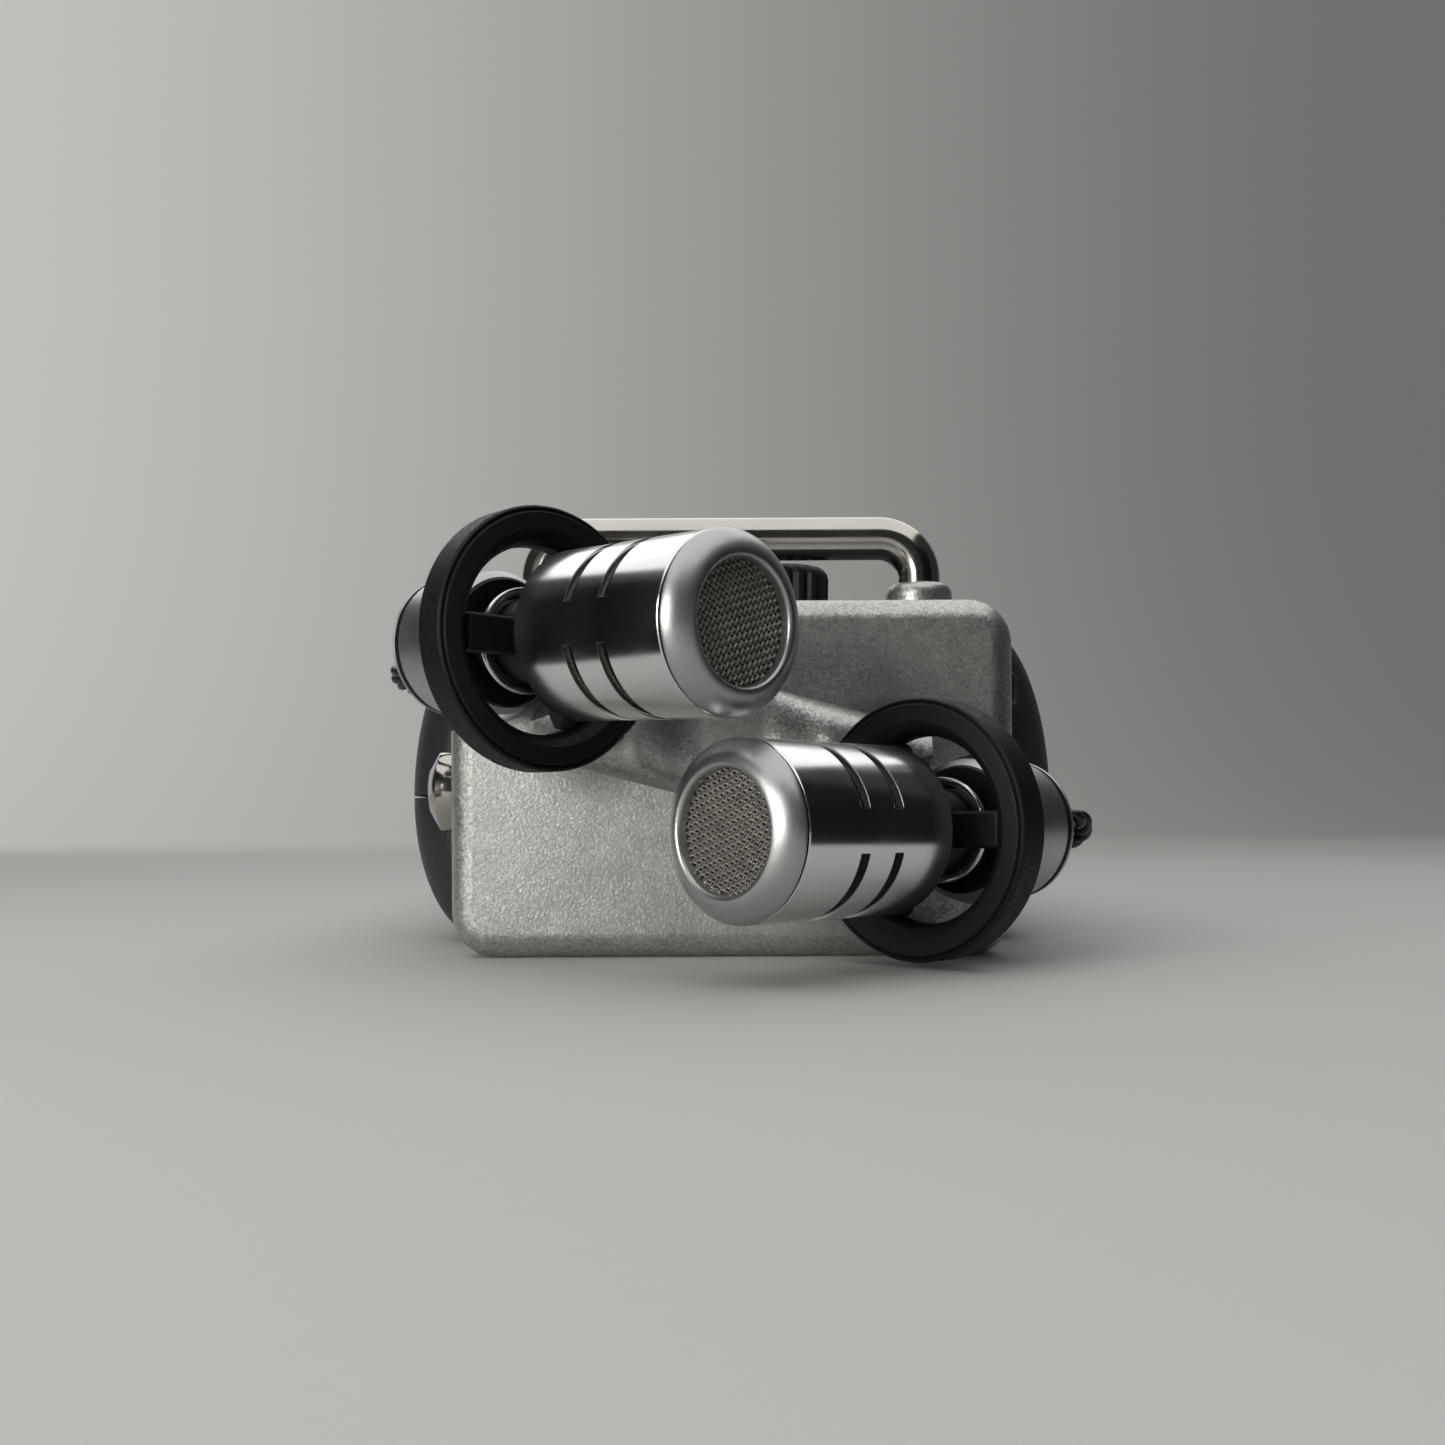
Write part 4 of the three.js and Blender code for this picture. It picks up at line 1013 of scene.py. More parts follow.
window_middle, window_half = centre_mm("display_window")
upper = half_shell(True)
tools = []
for x in (-1, 1):
    dial_centre, _ = centre_mm("input_dial_right" if x > 0 else "input_dial_left")
    tools.append(post(dial_centre.x, dial_centre.y, 1.9, 25, 60, 32))
tools.append(plate(window_middle, (window_half.x + 0.3, window_half.y + 0.3), BODY_TOP - 1.2, 60, 1.7))
tools.append(plate(window_middle, (window_half.x - 1.6, window_half.y - 1.6), 26, 60, 0.8))
ROUND_KEYS = {"stop_key": 4.4, "play_key": 4.4, "rewind_key": 4.4, "forward_key": 4.4, "record_key": 6.2}
for key, radius in ROUND_KEYS.items():
    middle, _ = centre_mm(key)
    tools.append(post(middle.x, middle.y, radius + 0.25, 26, 60))
TRACK_HALF = (5, 2.6)
for k in (1, 2, 3):
    middle, _ = centre_mm(f"track_key_{k}")
    tools.append(plate(middle, (TRACK_HALF[0] + 0.25, TRACK_HALF[1] + 0.25), 26, 60, 1.2))
SIDE_OPENINGS = {
    "release_button_left": (-1, 0.25, 0.25), "release_button_right": (1, 0.25, 0.25),
    "volume_rocker": (-1, 0.3, 0.25), "card_door": (1, 0.25, 0.25),
}
for node, (side, spare_y, spare_z) in SIDE_OPENINGS.items():
    middle, half = centre_mm(node)
    reach = (20, 50) if side > 0 else (-50, -20)
    tools.append(block(
        (reach[0], middle.y - half.y - spare_y, middle.z - half.z - spare_z),
        (reach[1], middle.y + half.y + spare_y, middle.z + half.z + spare_z), 0.8, 0,
    ))
wheel_middle, wheel_half = centre_mm("scroll_wheel")
tools.append(block(
    (20, wheel_middle.y - 7, wheel_middle.z - 2.05), (50, wheel_middle.y + 7, wheel_middle.z + 2.05), 0.9, 0,
))
slider_middle, _ = centre_mm("power_slider")
tools.append(block(
    (-50, slider_middle.y - 4.6, slider_middle.z - 1.05),
    (-20, slider_middle.y + 4.6, slider_middle.z + 1.05), 0.9, 0,
))
phones_middle, phones_half = centre_mm("phones_socket")
TO_SIDE = Matrix.Rotation(-math.pi / 2, 4, "Y")
TO_BACK = Matrix.Rotation(-math.pi / 2, 4, "X")
phones_hole = turn([(2.85, 20), (2.85, 50)], 64)
tools.append(put(phones_hole, Matrix.Translation((0, phones_middle.y, phones_middle.z)) @ TO_SIDE))
SOCKET_RADIUS = 12


def socket_holes():
    holes = []
    for label in ("left", "right"):
        middle, _ = centre_mm(f"input_socket_{label}")
        hole = turn([(SOCKET_RADIUS + 0.2, 0), (SOCKET_RADIUS + 0.2, 20)], 96)
        holes.append(put(hole, Matrix.Translation((middle.x, body_back - 10, middle.z)) @ TO_BACK))
    return holes


def connector_hole():
    return block((-9.4, BODY_FRONT - 2, 11), (9.4, BODY_FRONT + 6, 20), 0.8, 1)


combine(upper, "DIFFERENCE", *tools, *socket_holes(), connector_hole())
soften(upper, 0.22, 2, 42)
fit(upper, "upper_case", plastic, "main_unit", ["upper_shell"])

lower = half_shell(False)
cover_low, cover_high = box_mm("battery_cover")
tripod_middle, _ = centre_mm("tripod_nut")
speaker_middle, speaker_half = centre_mm("speaker")
tools = [
    block(
        (cover_low.x - 0.25, cover_low.y - 0.25, -5),
        (cover_high.x + 0.25, cover_high.y + 0.25, WALL + 1), 1.2, 2,
    ),
    post(0, tripod_middle.y, 4.8, -5, 8),
]
GRILLE_PITCH = 2.2
for k in range(-3, 4):
    slit_y = speaker_middle.y + k * GRILLE_PITCH
    reach = math.sqrt(speaker_half.x ** 2 - (k * GRILLE_PITCH) ** 2) - 1.2
    tools.append(block((-reach, slit_y - 0.55, -5), (reach, slit_y + 0.55, WALL + 1), 0.5, 2))
SCREW_PLACES = [(side * 24.5, BODY_FRONT + along) for along in (9, 92, 176) for side in (-1, 1)]
for x, y in SCREW_PLACES:
    tools.append(post(x, y, 2.5, -5, 1.3, 48))
combine(lower, "DIFFERENCE", *tools, *socket_holes(), connector_hole())
soften(lower, 0.22, 2, 42)
fit(lower, "lower_case", plastic, "main_unit", ["lower_shell"])

# ---------------------------------------------------------------- roll bar and its feet
# A bar of bright nickel-plated rod is bent over the input dials to guard them. Its legs go
# down through two turned, silver-painted feet on the upper case.

bar_low, bar_high = box_mm("roll_bar")
BAR_RADIUS = 2.2
BAR_BEND = 4.1
bar_y = (bar_low.y + bar_high.y) / 2
leg_x = bar_high.x - BAR_RADIUS
corner_x = leg_x - BAR_BEND
corner_z = bar_high.z - BAR_RADIUS - BAR_BEND
bpy.ops.object.select_all(action="DESELECT")
bpy.ops.mesh.primitive_circle_add(vertices=48, radius=BAR_RADIUS, location=(-leg_x, bar_y, BODY_TOP - 1))
bar = bpy.context.object
bpy.ops.object.transform_apply()
bpy.ops.object.mode_set(mode="EDIT")
bpy.ops.mesh.select_mode(type="VERT")
bpy.ops.mesh.select_all(action="SELECT")
bpy.ops.mesh.extrude_region_move(TRANSFORM_OT_translate={"value": (0, 0, corner_z - BODY_TOP + 1)})
bpy.ops.mesh.spin(steps=24, angle=math.pi / 2, center=(-corner_x, bar_y, corner_z), axis=(0, -1, 0))
bpy.ops.mesh.extrude_region_move(TRANSFORM_OT_translate={"value": (2 * corner_x, 0, 0)})
bpy.ops.mesh.spin(steps=24, angle=math.pi / 2, center=(corner_x, bar_y, corner_z), axis=(0, -1, 0))
bpy.ops.mesh.extrude_region_move(TRANSFORM_OT_translate={"value": (0, 0, BODY_TOP - 1 - corner_z)})
bpy.ops.mesh.select_all(action="SELECT")
bpy.ops.mesh.remove_doubles(threshold=0.0001)
bpy.ops.mesh.fill_holes(sides=0)
done_editing()
fit(bar, "bent_roll_bar", nickel, "main_unit", ["roll_bar"])

foot_high = box_mm("bar_foot_right")[1].z
for label, side in (("left", -1), ("right", 1)):
    foot = turn(
        [(BAR_RADIUS + 0.05, BODY_TOP - 0.1), (3.5, BODY_TOP - 0.1), (3.42, foot_high - 1.3)]
        + arc_points((2.5, foot_high - 1.2), 0.92, 1.2, 0, 90, 8)
        + [(BAR_RADIUS + 0.05, foot_high - 0.05)],
        96, ends="joined",
    )
    put(foot, Matrix.Translation((side * leg_x, bar_y, 0)))
    fit(foot, f"turned_foot_{label}", silver_paint, "main_unit", [f"bar_foot_{label}"])

# ---------------------------------------------------------------- input dials
# Two fluted dials of black plastic under the bar. Each has a dished top with a white line
# moulded into it, and a shaft that goes down through the case.

white_fill = Finish("white_fill", {"Roughness": 0.5})
white_fill.drive({
    "Base Color": white_fill.tint(white_fill.noise(900), (0.62, 0.62, 0.60), (0.78, 0.78, 0.76)),
})

knob_low, knob_high = box_mm("input_dial_right")
knob_radius = (knob_high.x - knob_low.x) / 2
knob_top = knob_high.z
knob = turn(
    [(1.5, BODY_TOP - 6), (1.5, BODY_TOP + 0.4), (knob_radius - 0.35, BODY_TOP + 0.4),
     (knob_radius - 0.12, BODY_TOP + 0.6), (knob_radius, knob_top - 1.3),
     (knob_radius - 0.15, knob_top - 0.7), (knob_radius - 0.55, knob_top - 0.2),
     (knob_radius - 1.2, knob_top), (knob_radius - 1.5, knob_top - 0.25), (1.2, knob_top - 0.32)],
    216,
)
knurl(knob, 18, 0.34, BODY_TOP + 0.3, knob_top - 0.1, knob_radius - 0.7)
knob_line = block((-0.25, 1.0, knob_top - 0.36), (0.25, knob_radius - 1.6, knob_top - 0.2), edge=0.05)
dial_places = []
for label in SIDES:
    middle, _ = centre_mm(f"input_dial_{label}")
    dial_places.append(Matrix.Translation((middle.x, middle.y, 0)))
for label, body, line in zip(SIDES, copies(knob, dial_places), copies(knob_line, dial_places)):
    dial = f"input_dial_{label}"
    fit(body, f"fluted_dial_{label}", plastic, dial, [dial])
    fit(line, f"dial_line_{label}", white_fill, dial)

# ---------------------------------------------------------------- display
# A clear acrylic window is bonded into a shallow recess of the upper case, with a black
# printed border inside it, over a grey-green liquid crystal cell in a metal frame.

clear = Finish(
    "clear_window", {"Roughness": 0.04, "Alpha": 0.22, "Base Color": (0.02, 0.025, 0.025, 1), "IOR": 1.49}
)
pane = plate(window_middle, window_half, BODY_TOP - 0.85, BODY_TOP + 0.1, 1.4, 0.12)
fit(pane, "acrylic_window", clear, "main_unit", ["display_window"])
border_half = (window_half.x - 0.1, window_half.y - 0.1)
shown_half = (window_half.x - 2.2, window_half.y - 2.6)
border = plate(window_middle, border_half, BODY_TOP - 1.15, BODY_TOP - 0.9, 1.3)
combine(border, "DIFFERENCE", plate(window_middle, shown_half, BODY_TOP - 2, BODY_TOP, 0.8))
fit(border, "printed_border", plastic, "main_unit")

CELL_TOP = 29.9
crystal = Finish("crystal_cell", {"Roughness": 0.3, "Specular IOR Level": 0.5})
DOT_PITCH = 0.00032
DOT_WAVE = 2 * math.pi / DOT_PITCH
ripple_x, ripple_y = (
    crystal.node("ShaderNodeMath", {"operation": "SINE"}, {0: crystal.along(axis) * DOT_WAVE})
    for axis in ("X", "Y")
)
crystal.drive({
    "Base Color": crystal.tint(
        (ripple_x + ripple_y) * 0.25 + 0.5, (0.155, 0.18, 0.155), (0.20, 0.23, 0.195)
    ),
})
cell = plate(window_middle, (window_half.x - 1.8, window_half.y - 2.2), 28.4, CELL_TOP, edge=0.1)
fit(cell, "crystal_panel", crystal, "main_unit")


def joined(made):
    """Several pieces as one."""
    only(made[0])
    for piece in made:
        piece.select_set(True)
    bpy.ops.object.join()
    return bpy.context.object


# Level meters in the cell: two rows of short bars, the lit ones dark.
METER_PITCH = 1.05
METER_START = -12.6
segment_dark = Finish("cell_segment_on", {"Roughness": 0.4})
segment_dark.drive({
    "Base Color": segment_dark.tint(segment_dark.noise(900), (0.02, 0.03, 0.035), (0.035, 0.045, 0.05)),
})
for row in range(2):
    bars = block((-0.32, -0.9, 0), (0.32, 0.9, 0.04))
    row_y = window_middle.y - 5.5 - 3.4 * row
    lit = 19 - 4 * row
    places = [Matrix.Translation((METER_START + METER_PITCH * k, row_y, CELL_TOP)) for k in range(lit)]
    meter = joined(copies(bars, places))
    fit(meter, f"meter_row_{row + 1}", segment_dark, "main_unit")

# ---------------------------------------------------------------- keys
# Round transport keys with dished tops and rolled edges come up through the case, round a
# red record key. Plain moulded symbols mark them, and three track keys sit above the display.

red = Finish("red_moulding", {"Specular IOR Level": 0.5, "Coat Weight": 0.2})
red_grain = red.noise(3600, 2)
red.drive({
    "Base Color": red.tint(red.noise(300), (0.36, 0.012, 0.012), (0.47, 0.02, 0.018)),
    "Roughness": red.ramp(red_grain, 0.28, 0.38),
    "Normal": red.bump(red_grain, 0.15, 0.00004),
})
satin_plastic = Finish("satin_key_plastic", {"Specular IOR Level": 0.5})
key_grain = satin_plastic.noise(4200, 2)
satin_plastic.drive({
    "Base Color": satin_plastic.tint(satin_plastic.noise(220), (0.022, 0.022, 0.024), (0.034, 0.034, 0.037)),
    "Roughness": satin_plastic.ramp(key_grain, 0.30, 0.44),
    "Normal": satin_plastic.bump(key_grain, 0.2, 0.00004),
})
KEY_FLANGE_TOP = BODY_TOP - WALL - GAP
key_top = box_mm("record_key")[1].z
DISH_DEPTH = 0.34
DISH_STEPS = 6


def dished_key(radius):
    dish = []
    for k in range(DISH_STEPS + 1):
        t = k / DISH_STEPS
        dish.append((radius - 0.75 - (radius - 1.75) * t, key_top - DISH_DEPTH * math.sin(t * math.pi / 2)))
    return turn(
        [(radius + 0.9, KEY_FLANGE_TOP - 1), (radius + 0.9, KEY_FLANGE_TOP), (radius, KEY_FLANGE_TOP)]
        + arc_points((radius - 0.6, key_top - 0.6), 0.6, 0.6, 0, 90, 6) + dish,
        96,
    )


def symbol(sides, size, turn_by=0.0):
    """A small flat moulded mark with so many sides."""
    bpy.ops.object.select_all(action="DESELECT")
    bpy.ops.mesh.primitive_cylinder_add(vertices=sides, radius=size, depth=0.16)
    piece = bpy.context.object
    bpy.ops.object.transform_apply()
    put(piece, Matrix.Rotation(turn_by, 4, "Z"))
    return soften(piece, 0.03, 2, 25)


ARROW = {
    "play_key": [(0, 0)], "forward_key": [(-0.75, 0), (0.75, 0)],
    "rewind_key": [(-0.75, math.pi), (0.75, math.pi)],
}
for key, radius in ROUND_KEYS.items():
    middle, _ = centre_mm(key)
    finish, slot = (red, "red_key") if key == "record_key" else (satin_plastic, "black_plastic")
    cap = put(dished_key(radius), Matrix.Translation((middle.x, middle.y, 0)))
    fit(cap, f"dished_{key}", finish, key, [key])
    marks = []
    if key == "stop_key":
        marks.append(symbol(4, 1.35, math.pi / 4))
    if key == "record_key":
        marks.append(symbol(48, 1.7))
    for x, turn_by in ARROW.get(key, []):
        marks.append(put(symbol(3, 1.05, turn_by - math.pi / 2), Matrix.Translation((x, 0, 0))))
    mark = put(joined(marks), Matrix.Translation((middle.x, middle.y, key_top - 0.3)))
    fit(mark, f"mark_{key}", white_fill, key)

for k in (1, 2, 3):
    middle, _ = centre_mm(f"track_key_{k}")
    pad = plate(middle, TRACK_HALF, KEY_FLANGE_TOP - 0.5, key_top - 0.2, 1.0, 0.3)
    flange_half = (TRACK_HALF[0] + 0.8, TRACK_HALF[1] + 0.8)
    combine(pad, "UNION", plate(middle, flange_half, KEY_FLANGE_TOP - 1, KEY_FLANGE_TOP, 1.4))
    fit(pad, f"track_pad_{k}", satin_plastic, f"track_key_{k}", [f"track_key_{k}"])

# Status lamps: small domed lenses of clear red plastic beside the track keys and record key.
lens = Finish("lamp_lens", {"Roughness": 0.12, "Coat Weight": 0.5})
lens.drive({"Base Color": lens.tint(lens.noise(800), (0.20, 0.01, 0.01), (0.34, 0.02, 0.015))})
lamp = turn([(0.75, BODY_TOP - 0.6)] + arc_points((0, BODY_TOP - 0.05), 0.75, 0.4, 0, 80, 6), 32)
track_y = centre_mm("track_key_1")[0].y
lamp_spots = [(centre_mm(f"track_key_{k}")[0].x, track_y + 5) for k in (1, 2, 3)]
record_middle, _ = centre_mm("record_key")
lamp_spots.append((record_middle.x, record_middle.y + 9))
for k, piece in enumerate(copies(lamp, [Matrix.Translation((x, y, 0)) for x, y in lamp_spots])):
    fit(piece, f"status_lamp_{k + 1}", lens, "main_unit")

# ---------------------------------------------------------------- side controls
# Moulded controls along both sides: a ribbed catch on each that frees the capsule, a volume
# rocker and a power slider on the left, and a knurled scroll wheel on edge on the right.


def side_key(node, corner, rib_places, rib_depth=0.3, rib_half=0.26):
    """An oblong key that fills its node's box, with upright ribs raised on its outer face."""
    low, high = box_mm(node)
    side = 1 if low.x > 0 else -1
    outer, inner = (high.x, low.x) if side > 0 else (low.x, high.x)
    face = outer - side * rib_depth
    key = block((min(face, inner), low.y, low.z), (max(face, inner), high.y, high.z), corner, 0, 0.4)
    middle = (low + high) / 2
    for along in rib_places:
        root = face - side * 0.5
        rib = block(
            (min(root, outer), middle.y + along - rib_half, low.z + 0.8),
            (max(root, outer), middle.y + along + rib_half, high.z - 0.8), edge=0.12,
        )
        combine(key, "UNION", rib)
    return key


for label in SIDES:
    catch = side_key(f"release_button_{label}", 1.1, [-2.6, -1.3, 0, 1.3, 2.6])
    fit(catch, f"ribbed_catch_{label}", satin_plastic, f"release_button_{label}",
        [f"release_button_{label}"])

rocker = side_key("volume_rocker", 1.3, [])
rocker_middle, rocker_half = centre_mm("volume_rocker")
SADDLE_RADIUS = 22
saddle_x = rocker_middle.x - rocker_half.x - SADDLE_RADIUS + 0.75
saddle = post(saddle_x, rocker_middle.y, SADDLE_RADIUS, 10, 30, 192)
combine(rocker, "DIFFERENCE", saddle)
fit(rocker, "saddled_rocker", satin_plastic, "volume_rocker", ["volume_rocker"])

slider_low, slider_high = box_mm("power_slider")
cap_root = slider_low.x + 1.2
slider = block(
    (slider_low.x + 0.25, slider_low.y, slider_low.z), (cap_root, slider_high.y, slider_high.z), 0.6, 0, 0.2,
)
for along in (-1.6, -0.8, 0, 0.8, 1.6):
    combine(slider, "UNION", block(
        (slider_low.x, slider_middle.y + along - 0.2, slider_low.z + 0.4),
        (slider_low.x + 0.6, slider_middle.y + along + 0.2, slider_high.z - 0.4), edge=0.08,
    ))
stem = block(
    (cap_root - 0.3, slider_middle.y - 1.4, slider_middle.z - 0.8),
    (slider_high.x, slider_middle.y + 1.4, slider_middle.z + 0.8), edge=0.15,
)
combine(slider, "UNION", stem)
fit(slider, "ribbed_slider", satin_plastic, "power_slider", ["power_slider"])

wheel_radius = wheel_half.x
wheel_edge = wheel_half.z
rim_line = [
    (1.2, wheel_edge), (wheel_radius - 1.6, wheel_edge), (wheel_radius - 1.2, wheel_edge - 0.3),
    (wheel_radius - 0.45, wheel_edge - 0.3), (wheel_radius, wheel_edge - 0.75),
]
wheel = turn([(r, -z) for r, z in rim_line] + rim_line[::-1], 240)
knurl(wheel, 40, 0.2, -wheel_edge + 0.5, wheel_edge - 0.5, wheel_radius - 0.3)
fit(put(wheel, Matrix.Translation(wheel_middle)), "knurled_wheel", plastic,
    "scroll_wheel", ["scroll_wheel"])

# ---------------------------------------------------------------- card door
# A plain plastic door on the right side, hinged along its lower edge, over the memory card's
# slot. It has a raised rib at each end, and a scooped nail notch in its upper edge.

door_low, door_high = box_mm("card_door")
door_middle = (door_low + door_high) / 2
door = block(door_low, (door_high.x - 0.12, door_high.y, door_high.z), 0.7, 0, 0.25)
nail_notch = put(
    turn([(2.2, -2), (2.2, 2)], 48),
    Matrix.Translation((door_high.x + 1.3, door_middle.y, door_high.z + 0.2)) @ TO_BACK,
)
combine(door, "DIFFERENCE", nail_notch)
for end in (door_low.y + 1.4, door_high.y - 1.4):
    combine(door, "UNION", block(
        (door_high.x - 0.5, end - 0.35, door_low.z + 0.7),
        (door_high.x, end + 0.35, door_high.z - 0.7), edge=0.1,
    ))
fit(door, "hinged_door", satin_plastic, "card_door", ["card_door"])

# ---------------------------------------------------------------- input sockets
# Two moulded combination sockets stand in the back wall. Each has a ring groove round a core
# with three pin holes and a jack bore, lined with nickel contacts, and a tab that frees a plug.

CORE_RADIUS = 8
GROOVE_RADIUS = 9.5
GROOVE_DEPTH = 14
BORE_RADIUS = 3.3
BORE_DEPTH = 22
REAR_RADIUS = 11.2
PIN_CIRCLE = 5.6
PIN_RADIUS = 1.1
PIN_PLACES = [
    Matrix.Translation((PIN_CIRCLE * math.cos(math.radians(a)), PIN_CIRCLE * math.sin(math.radians(a)), 0))
    for a in (90, 210, 330)
]


def sleeve(inner, outer, back, front, sides=40):
    return turn([(inner, back), (outer, back), (outer, front), (inner, front)], sides, ends="joined")


for label in SIDES:
    low, high = box_mm(f"input_socket_{label}")
    to_socket = Matrix.Translation(((low.x + high.x) / 2, high.y, (low.z + high.z) / 2)) @ TO_BACK
    depth = high.y - low.y
    socket = turn(
        [(0.4, -BORE_DEPTH), (BORE_RADIUS, -BORE_DEPTH), (BORE_RADIUS, -1.5), (BORE_RADIUS + 0.45, -1),
         (CORE_RADIUS - 0.3, -1), (CORE_RADIUS, -1.3), (CORE_RADIUS, -GROOVE_DEPTH),
         (GROOVE_RADIUS, -GROOVE_DEPTH), (GROOVE_RADIUS, -0.5), (GROOVE_RADIUS + 0.5, 0),
         (SOCKET_RADIUS - 0.3, 0), (SOCKET_RADIUS, -0.3), (SOCKET_RADIUS, -3), (REAR_RADIUS, -3),
         (REAR_RADIUS, -depth), (0.4, -depth)],
        128,
    )
    pin_hole = turn([(PIN_RADIUS, -GROOVE_DEPTH), (PIN_RADIUS, 1)], 32)
    combine(socket, "DIFFERENCE", *copies(pin_hole, PIN_PLACES))
    fit(put(socket, to_socket), f"combination_socket_{label}", plastic, "main_unit",
        [f"input_socket_{label}"])
    jack_sleeve = sleeve(BORE_RADIUS - 0.3, BORE_RADIUS - 0.08, -BORE_DEPTH + 1, -2.2)
    pin_sleeve = sleeve(PIN_RADIUS - 0.28, PIN_RADIUS - 0.08, -GROOVE_DEPTH + 1, -2)
    contacts = joined([jack_sleeve, *copies(pin_sleeve, PIN_PLACES)])
    fit(put(contacts, to_socket), f"socket_contacts_{label}", nickel, "main_unit")
    tab_low, tab_high = box_mm(f"socket_tab_{label}")
    tab = block(tab_low, (tab_high.x, tab_high.y - 0.2, tab_high.z), 0.5, 1, 0.15)
    for k in (-1, 0, 1):
        rib_x = (tab_low.x + tab_high.x) / 2 + k * 1.1
        combine(tab, "UNION", block(
            (rib_x - 0.2, tab_low.y + 0.5, tab_low.z + 0.3),
            (rib_x + 0.2, tab_high.y, tab_high.z - 0.3), edge=0.08,
        ))
    fit(tab, f"ribbed_tab_{label}", satin, f"socket_tab_{label}", [f"socket_tab_{label}"])

# ---------------------------------------------------------------- phones socket
# A small nickel tube in the left side takes a 3.5 mm headphone plug. Its lip stands just
# inside the case's opening.

phones_length = phones_half.x * 2
phones_radius = phones_half.z
phones = turn(
    [(1.8, 0), (phones_radius, 0), (phones_radius, phones_length - 0.25),
     (phones_radius - 0.25, phones_length), (2.0, phones_length), (1.8, phones_length - 0.2)],
    72, ends="joined",
)
to_phones = Matrix.Translation((phones_middle.x + phones_half.x, phones_middle.y, phones_middle.z)) @ TO_SIDE
fit(put(phones, to_phones), "turned_phones_socket", nickel, "main_unit", ["phones_socket"])

# ---------------------------------------------------------------- battery cover
# The cover lies flush in the underside and swings down at its rear edge. Moulded grooves near
# its front edge give a thumb some grip.

cover = block(cover_low, cover_high, 1.0, 2, 0.22)
for k in range(6):
    reach = 9 - 1.1 * k
    groove_y = cover_low.y + 4.5 + 1.7 * k
    groove = block((-reach, groove_y - 0.42, -1), (reach, groove_y + 0.42, 0.45), 0.35, 2)
    combine(cover, "DIFFERENCE", groove)
fit(soften(cover, 0.08, 2, 40), "grooved_cover", plastic, "battery_cover", ["battery_cover"])

# ---------------------------------------------------------------- tripod nut and case screws
# A quarter-inch nut is moulded into the base, its thread drawn as plain rings. Six small
# cross-head screws in sunk holes hold the half shells together.

nut_low, nut_high = box_mm("tripod_nut")
THREAD_PITCH = 1.27
THREAD_DEPTH = 0.45
thread_turns = int((nut_high.z - nut_low.z - 0.8) / THREAD_PITCH)
thread_inner = 3.2
nut_outer = (nut_high.x - nut_low.x) / 2
thread = [(nut_outer, nut_high.z), (nut_outer, nut_low.z + 0.2), (nut_outer - 0.2, nut_low.z),
          (thread_inner + 0.4, nut_low.z)]
for k in range(thread_turns):
    root = nut_low.z + 0.4 + k * THREAD_PITCH
    thread += [(thread_inner, root), (thread_inner, root + 0.16), (thread_inner + THREAD_DEPTH, root + 0.64)]
thread += [(thread_inner, nut_high.z)]
threaded = put(turn(thread, 96, ends="joined"), Matrix.Translation((0, tripod_middle.y, 0)))
fit(threaded, "threaded_nut", nickel, "main_unit", ["tripod_nut"])

SCREW_RADIUS = 2.2
screw = turn(
    [(SCREW_RADIUS, 1.2), (SCREW_RADIUS, 0.75), (SCREW_RADIUS - 0.25, 0.5), (1.2, 0.4), (0.3, 0.38)], 64,
)
for turn_by in (0, math.pi / 2):
    bar = block((-1.2, -0.22, 0), (1.2, 0.22, 0.8))
    combine(screw, "DIFFERENCE", put(bar, Matrix.Rotation(turn_by, 4, "Z")))
screws = joined(copies(screw, [
    Matrix.Translation((x, y, 0)) @ Matrix.Rotation(0.5 * k, 4, "Z") for k, (x, y) in enumerate(SCREW_PLACES)
]))
fit(screws, "case_screws", nickel, "main_unit")

# ---------------------------------------------------------------- speaker
# A small speaker fires down through the base's grille: a pressed steel basket, and a black
# paper cone with a rolled edge and a domed middle.

spk_low, spk_high = box_mm("speaker")
spk_radius = (spk_high.x - spk_low.x) / 2
rim, rear = spk_low.z, spk_high.z
steel = Finish("pressed_steel", {"Metallic": 1.0})
steel.drive({
    "Base Color": steel.tint(steel.noise(500), (0.30, 0.30, 0.31), (0.42, 0.42, 0.43)),
    "Roughness": steel.ramp(steel.noise(1400), 0.28, 0.42),
})
basket = turn(
    [(0.4, rim + 2.6), (spk_radius - 3, rim + 2.4), (spk_radius - 0.9, rim + 0.5), (spk_radius - 0.7, rim),
     (spk_radius, rim), (spk_radius, rim + 0.5), (spk_radius - 0.5, rim + 0.6), (spk_radius - 2.6, rim + 2.9),
     (spk_radius - 3.4, rim + 2.9), (spk_radius - 3.4, rear), (0.4, rear)],
    96,
)
to_speaker = Matrix.Translation((0, speaker_middle.y, 0))
fit(put(basket, to_speaker), "speaker_basket", steel, "main_unit", ["speaker"])
paper = Finish("cone_paper", {"Specular IOR Level": 0.2})
paper.drive({
    "Base Color": paper.tint(paper.noise(700, 5), (0.012, 0.012, 0.013), (0.035, 0.034, 0.033)),
    "Roughness": paper.ramp(paper.noise(1500), 0.7, 0.95),
    "Normal": paper.bump(paper.noise(2600, 4), 0.4, 0.0001),
})
PAPER = 0.22
cone_line = [(spk_radius - 1.0, rim + 0.45), (spk_radius - 1.5, rim + 0.15), (spk_radius - 2.0, rim + 0.45),
             (3.0, rim + 1.7), (2.6, rim + 1.2), (1.6, rim + 0.75), (0.3, rim + 0.65)]
cone = turn(cone_line + [(r, z + PAPER) for r, z in reversed(cone_line)], 96, ends="joined")
fit(put(cone, to_speaker), "speaker_cone", paper, "main_unit")

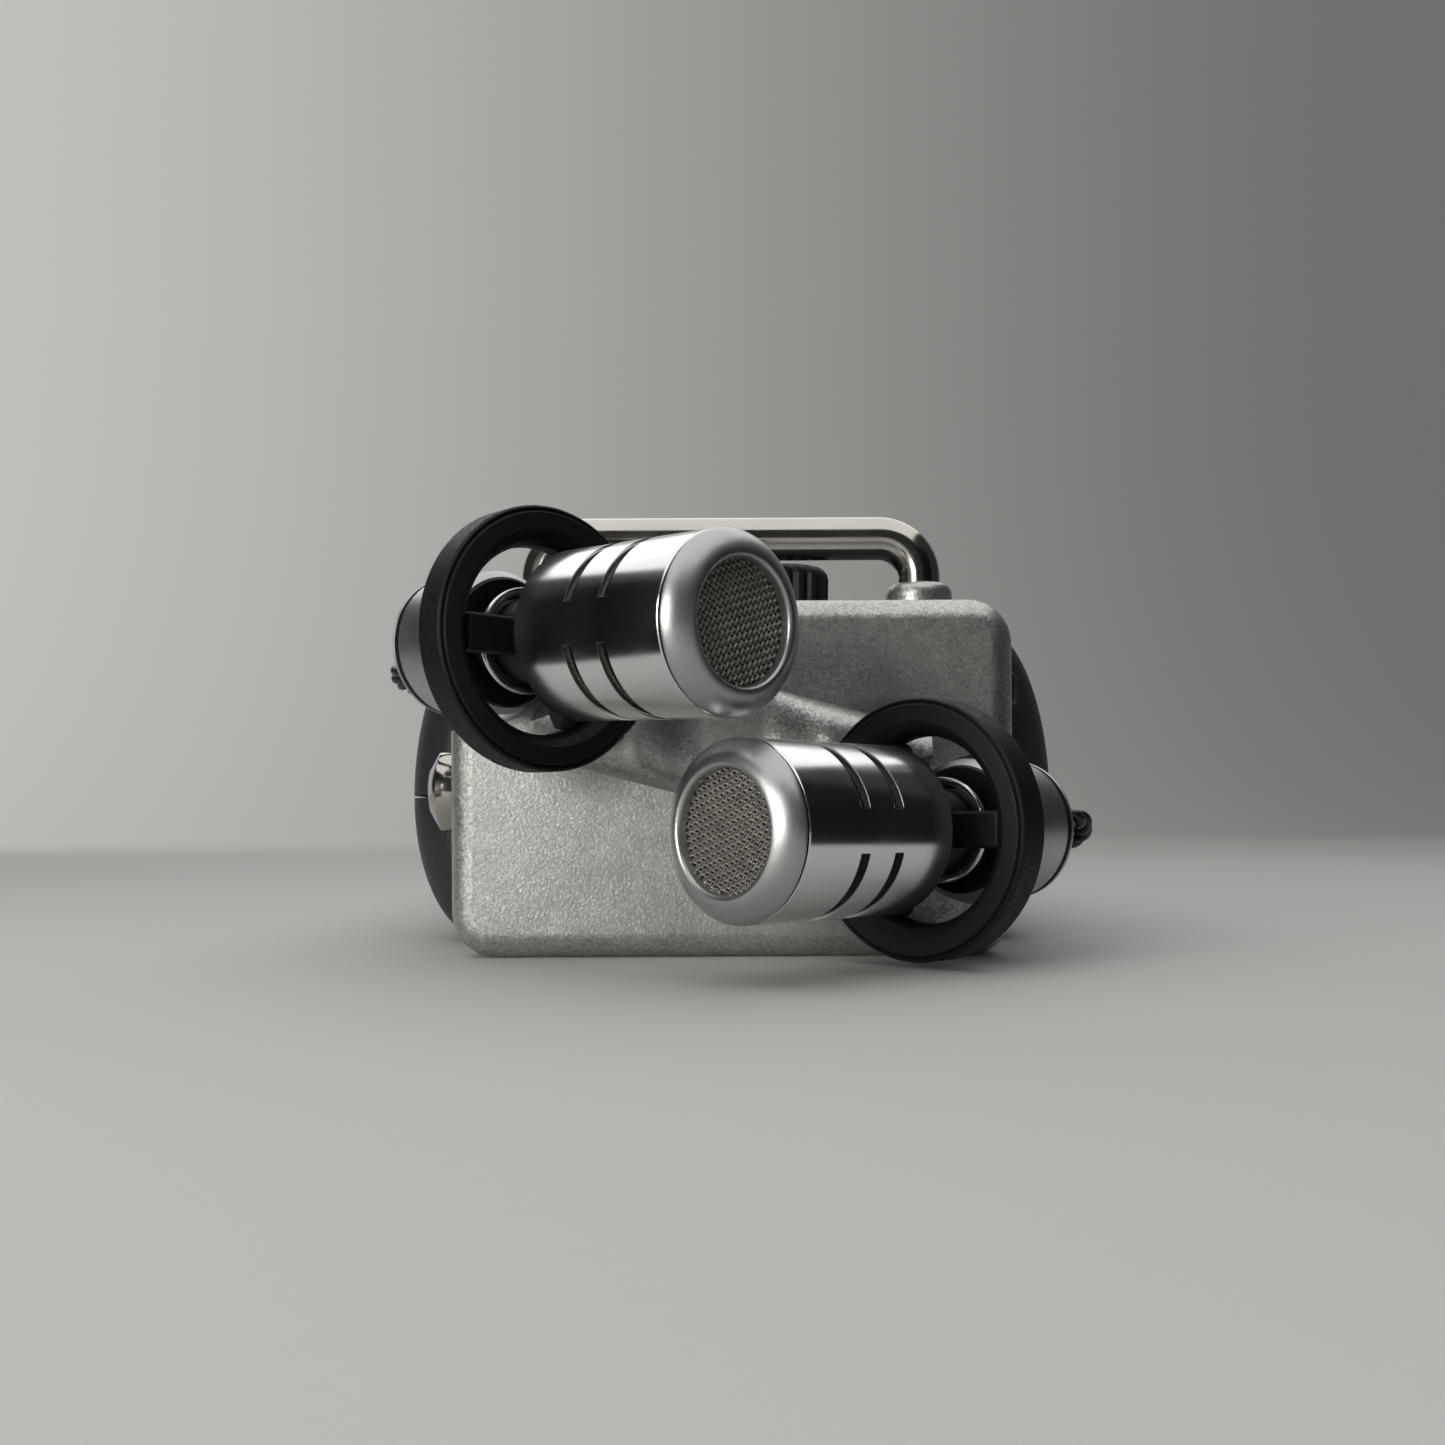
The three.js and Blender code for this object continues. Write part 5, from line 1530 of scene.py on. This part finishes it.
# ---------------------------------------------------------------- inner pieces
# The board, cells, contacts, connector, display cell frame, card and the capsule's rear cover
# are the solids of the frame itself, and are given their real finishes here.

coated_board = Finish("coated_board", {"Coat Weight": 0.3, "Specular IOR Level": 0.5})
tracks = coated_board.node(
    "ShaderNodeTexBrick", {"offset": 0.5},
    {"Vector": coated_board.place(), "Scale": 420, "Mortar Size": 0.035, "Color1": (0, 0, 0, 1),
     "Color2": (0.25, 0.25, 0.25, 1), "Mortar": (1, 1, 1, 1)},
    "Fac",
)
coated_board.drive({
    "Base Color": coated_board.tint(tracks, (0.008, 0.085, 0.040), (0.03, 0.17, 0.085)),
    "Roughness": coated_board.ramp(coated_board.noise(900), 0.3, 0.45),
    "Normal": coated_board.bump(tracks, 0.3, 0.00004),
})
jacket = Finish("printed_jacket", {"Coat Weight": 0.4})
cell_low, cell_high = box_mm("cell_left")
BAND_START = (cell_low.y + 0.68 * (cell_high.y - cell_low.y)) * MM
banded = jacket.node("ShaderNodeMath", {"operation": "GREATER_THAN"}, {0: jacket.along("Y"), 1: BAND_START})
jacket.drive({
    "Base Color": jacket.tint(banded, (0.018, 0.019, 0.022), (0.42, 0.17, 0.045)),
    "Metallic": banded * 0.7,
    "Roughness": jacket.ramp(jacket.noise(600), 0.25, 0.36),
})
gilt = Finish("gilt_contacts", {"Metallic": 1.0})
gilt.drive({
    "Base Color": gilt.tint(gilt.noise(900), (0.62, 0.45, 0.17), (0.76, 0.57, 0.26)),
    "Roughness": gilt.ramp(gilt.noise(1500), 0.18, 0.32),
})
INNER_FINISHES = {
    "capsule_rear_cover": plastic, "capsule_connector": satin_plastic, "main_board": coated_board,
    "display_module": steel, "memory_card": satin_plastic, "cell_left": jacket, "cell_right": jacket,
    "battery_contact_front": nickel, "battery_contact_rear": nickel,
}
for node, finish in INNER_FINISHES.items():
    for material_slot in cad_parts[node].material_slots:
        material_slot.material = finish.material

# The connector's gilt pins, and a coned spring between the front contact and each cell.
connector_middle, connector_half = centre_mm("capsule_connector")
connector_face = connector_middle.y - connector_half.y
PIN_PITCH = 1.6
pin = block((-0.32, connector_face - 0.12, -0.5), (0.32, connector_face + 0.6, 0.5), edge=0.08)
pins = joined(copies(pin, [
    Matrix.Translation((PIN_PITCH * (k - 4), 0, connector_middle.z + row))
    for row in (-1.2, 1.2) for k in range(9)
]))
fit(pins, "connector_pins", gilt, "main_unit")

spring_start = box_mm("battery_contact_front")[1].y
SPRING_TURNS = 4
SPRING_STEPS = 96
springs = []
for side in (-1, 1):
    middle_x = side * (cell_high.x - cell_low.x + 1) / 2
    middle_z = (cell_low.z + cell_high.z) / 2
    path = []
    for k in range(SPRING_STEPS + 1):
        t = k / SPRING_STEPS
        angle = 2 * math.pi * SPRING_TURNS * t
        radius = 4.6 - 2.0 * t
        along = spring_start + 0.3 + (cell_low.y - spring_start - 0.7) * t
        path.append((middle_x + radius * math.cos(angle), along, middle_z + radius * math.sin(angle)))
    springs.append(path)
fit(tube(springs, 0.3, 3), "contact_springs", nickel, "main_unit")
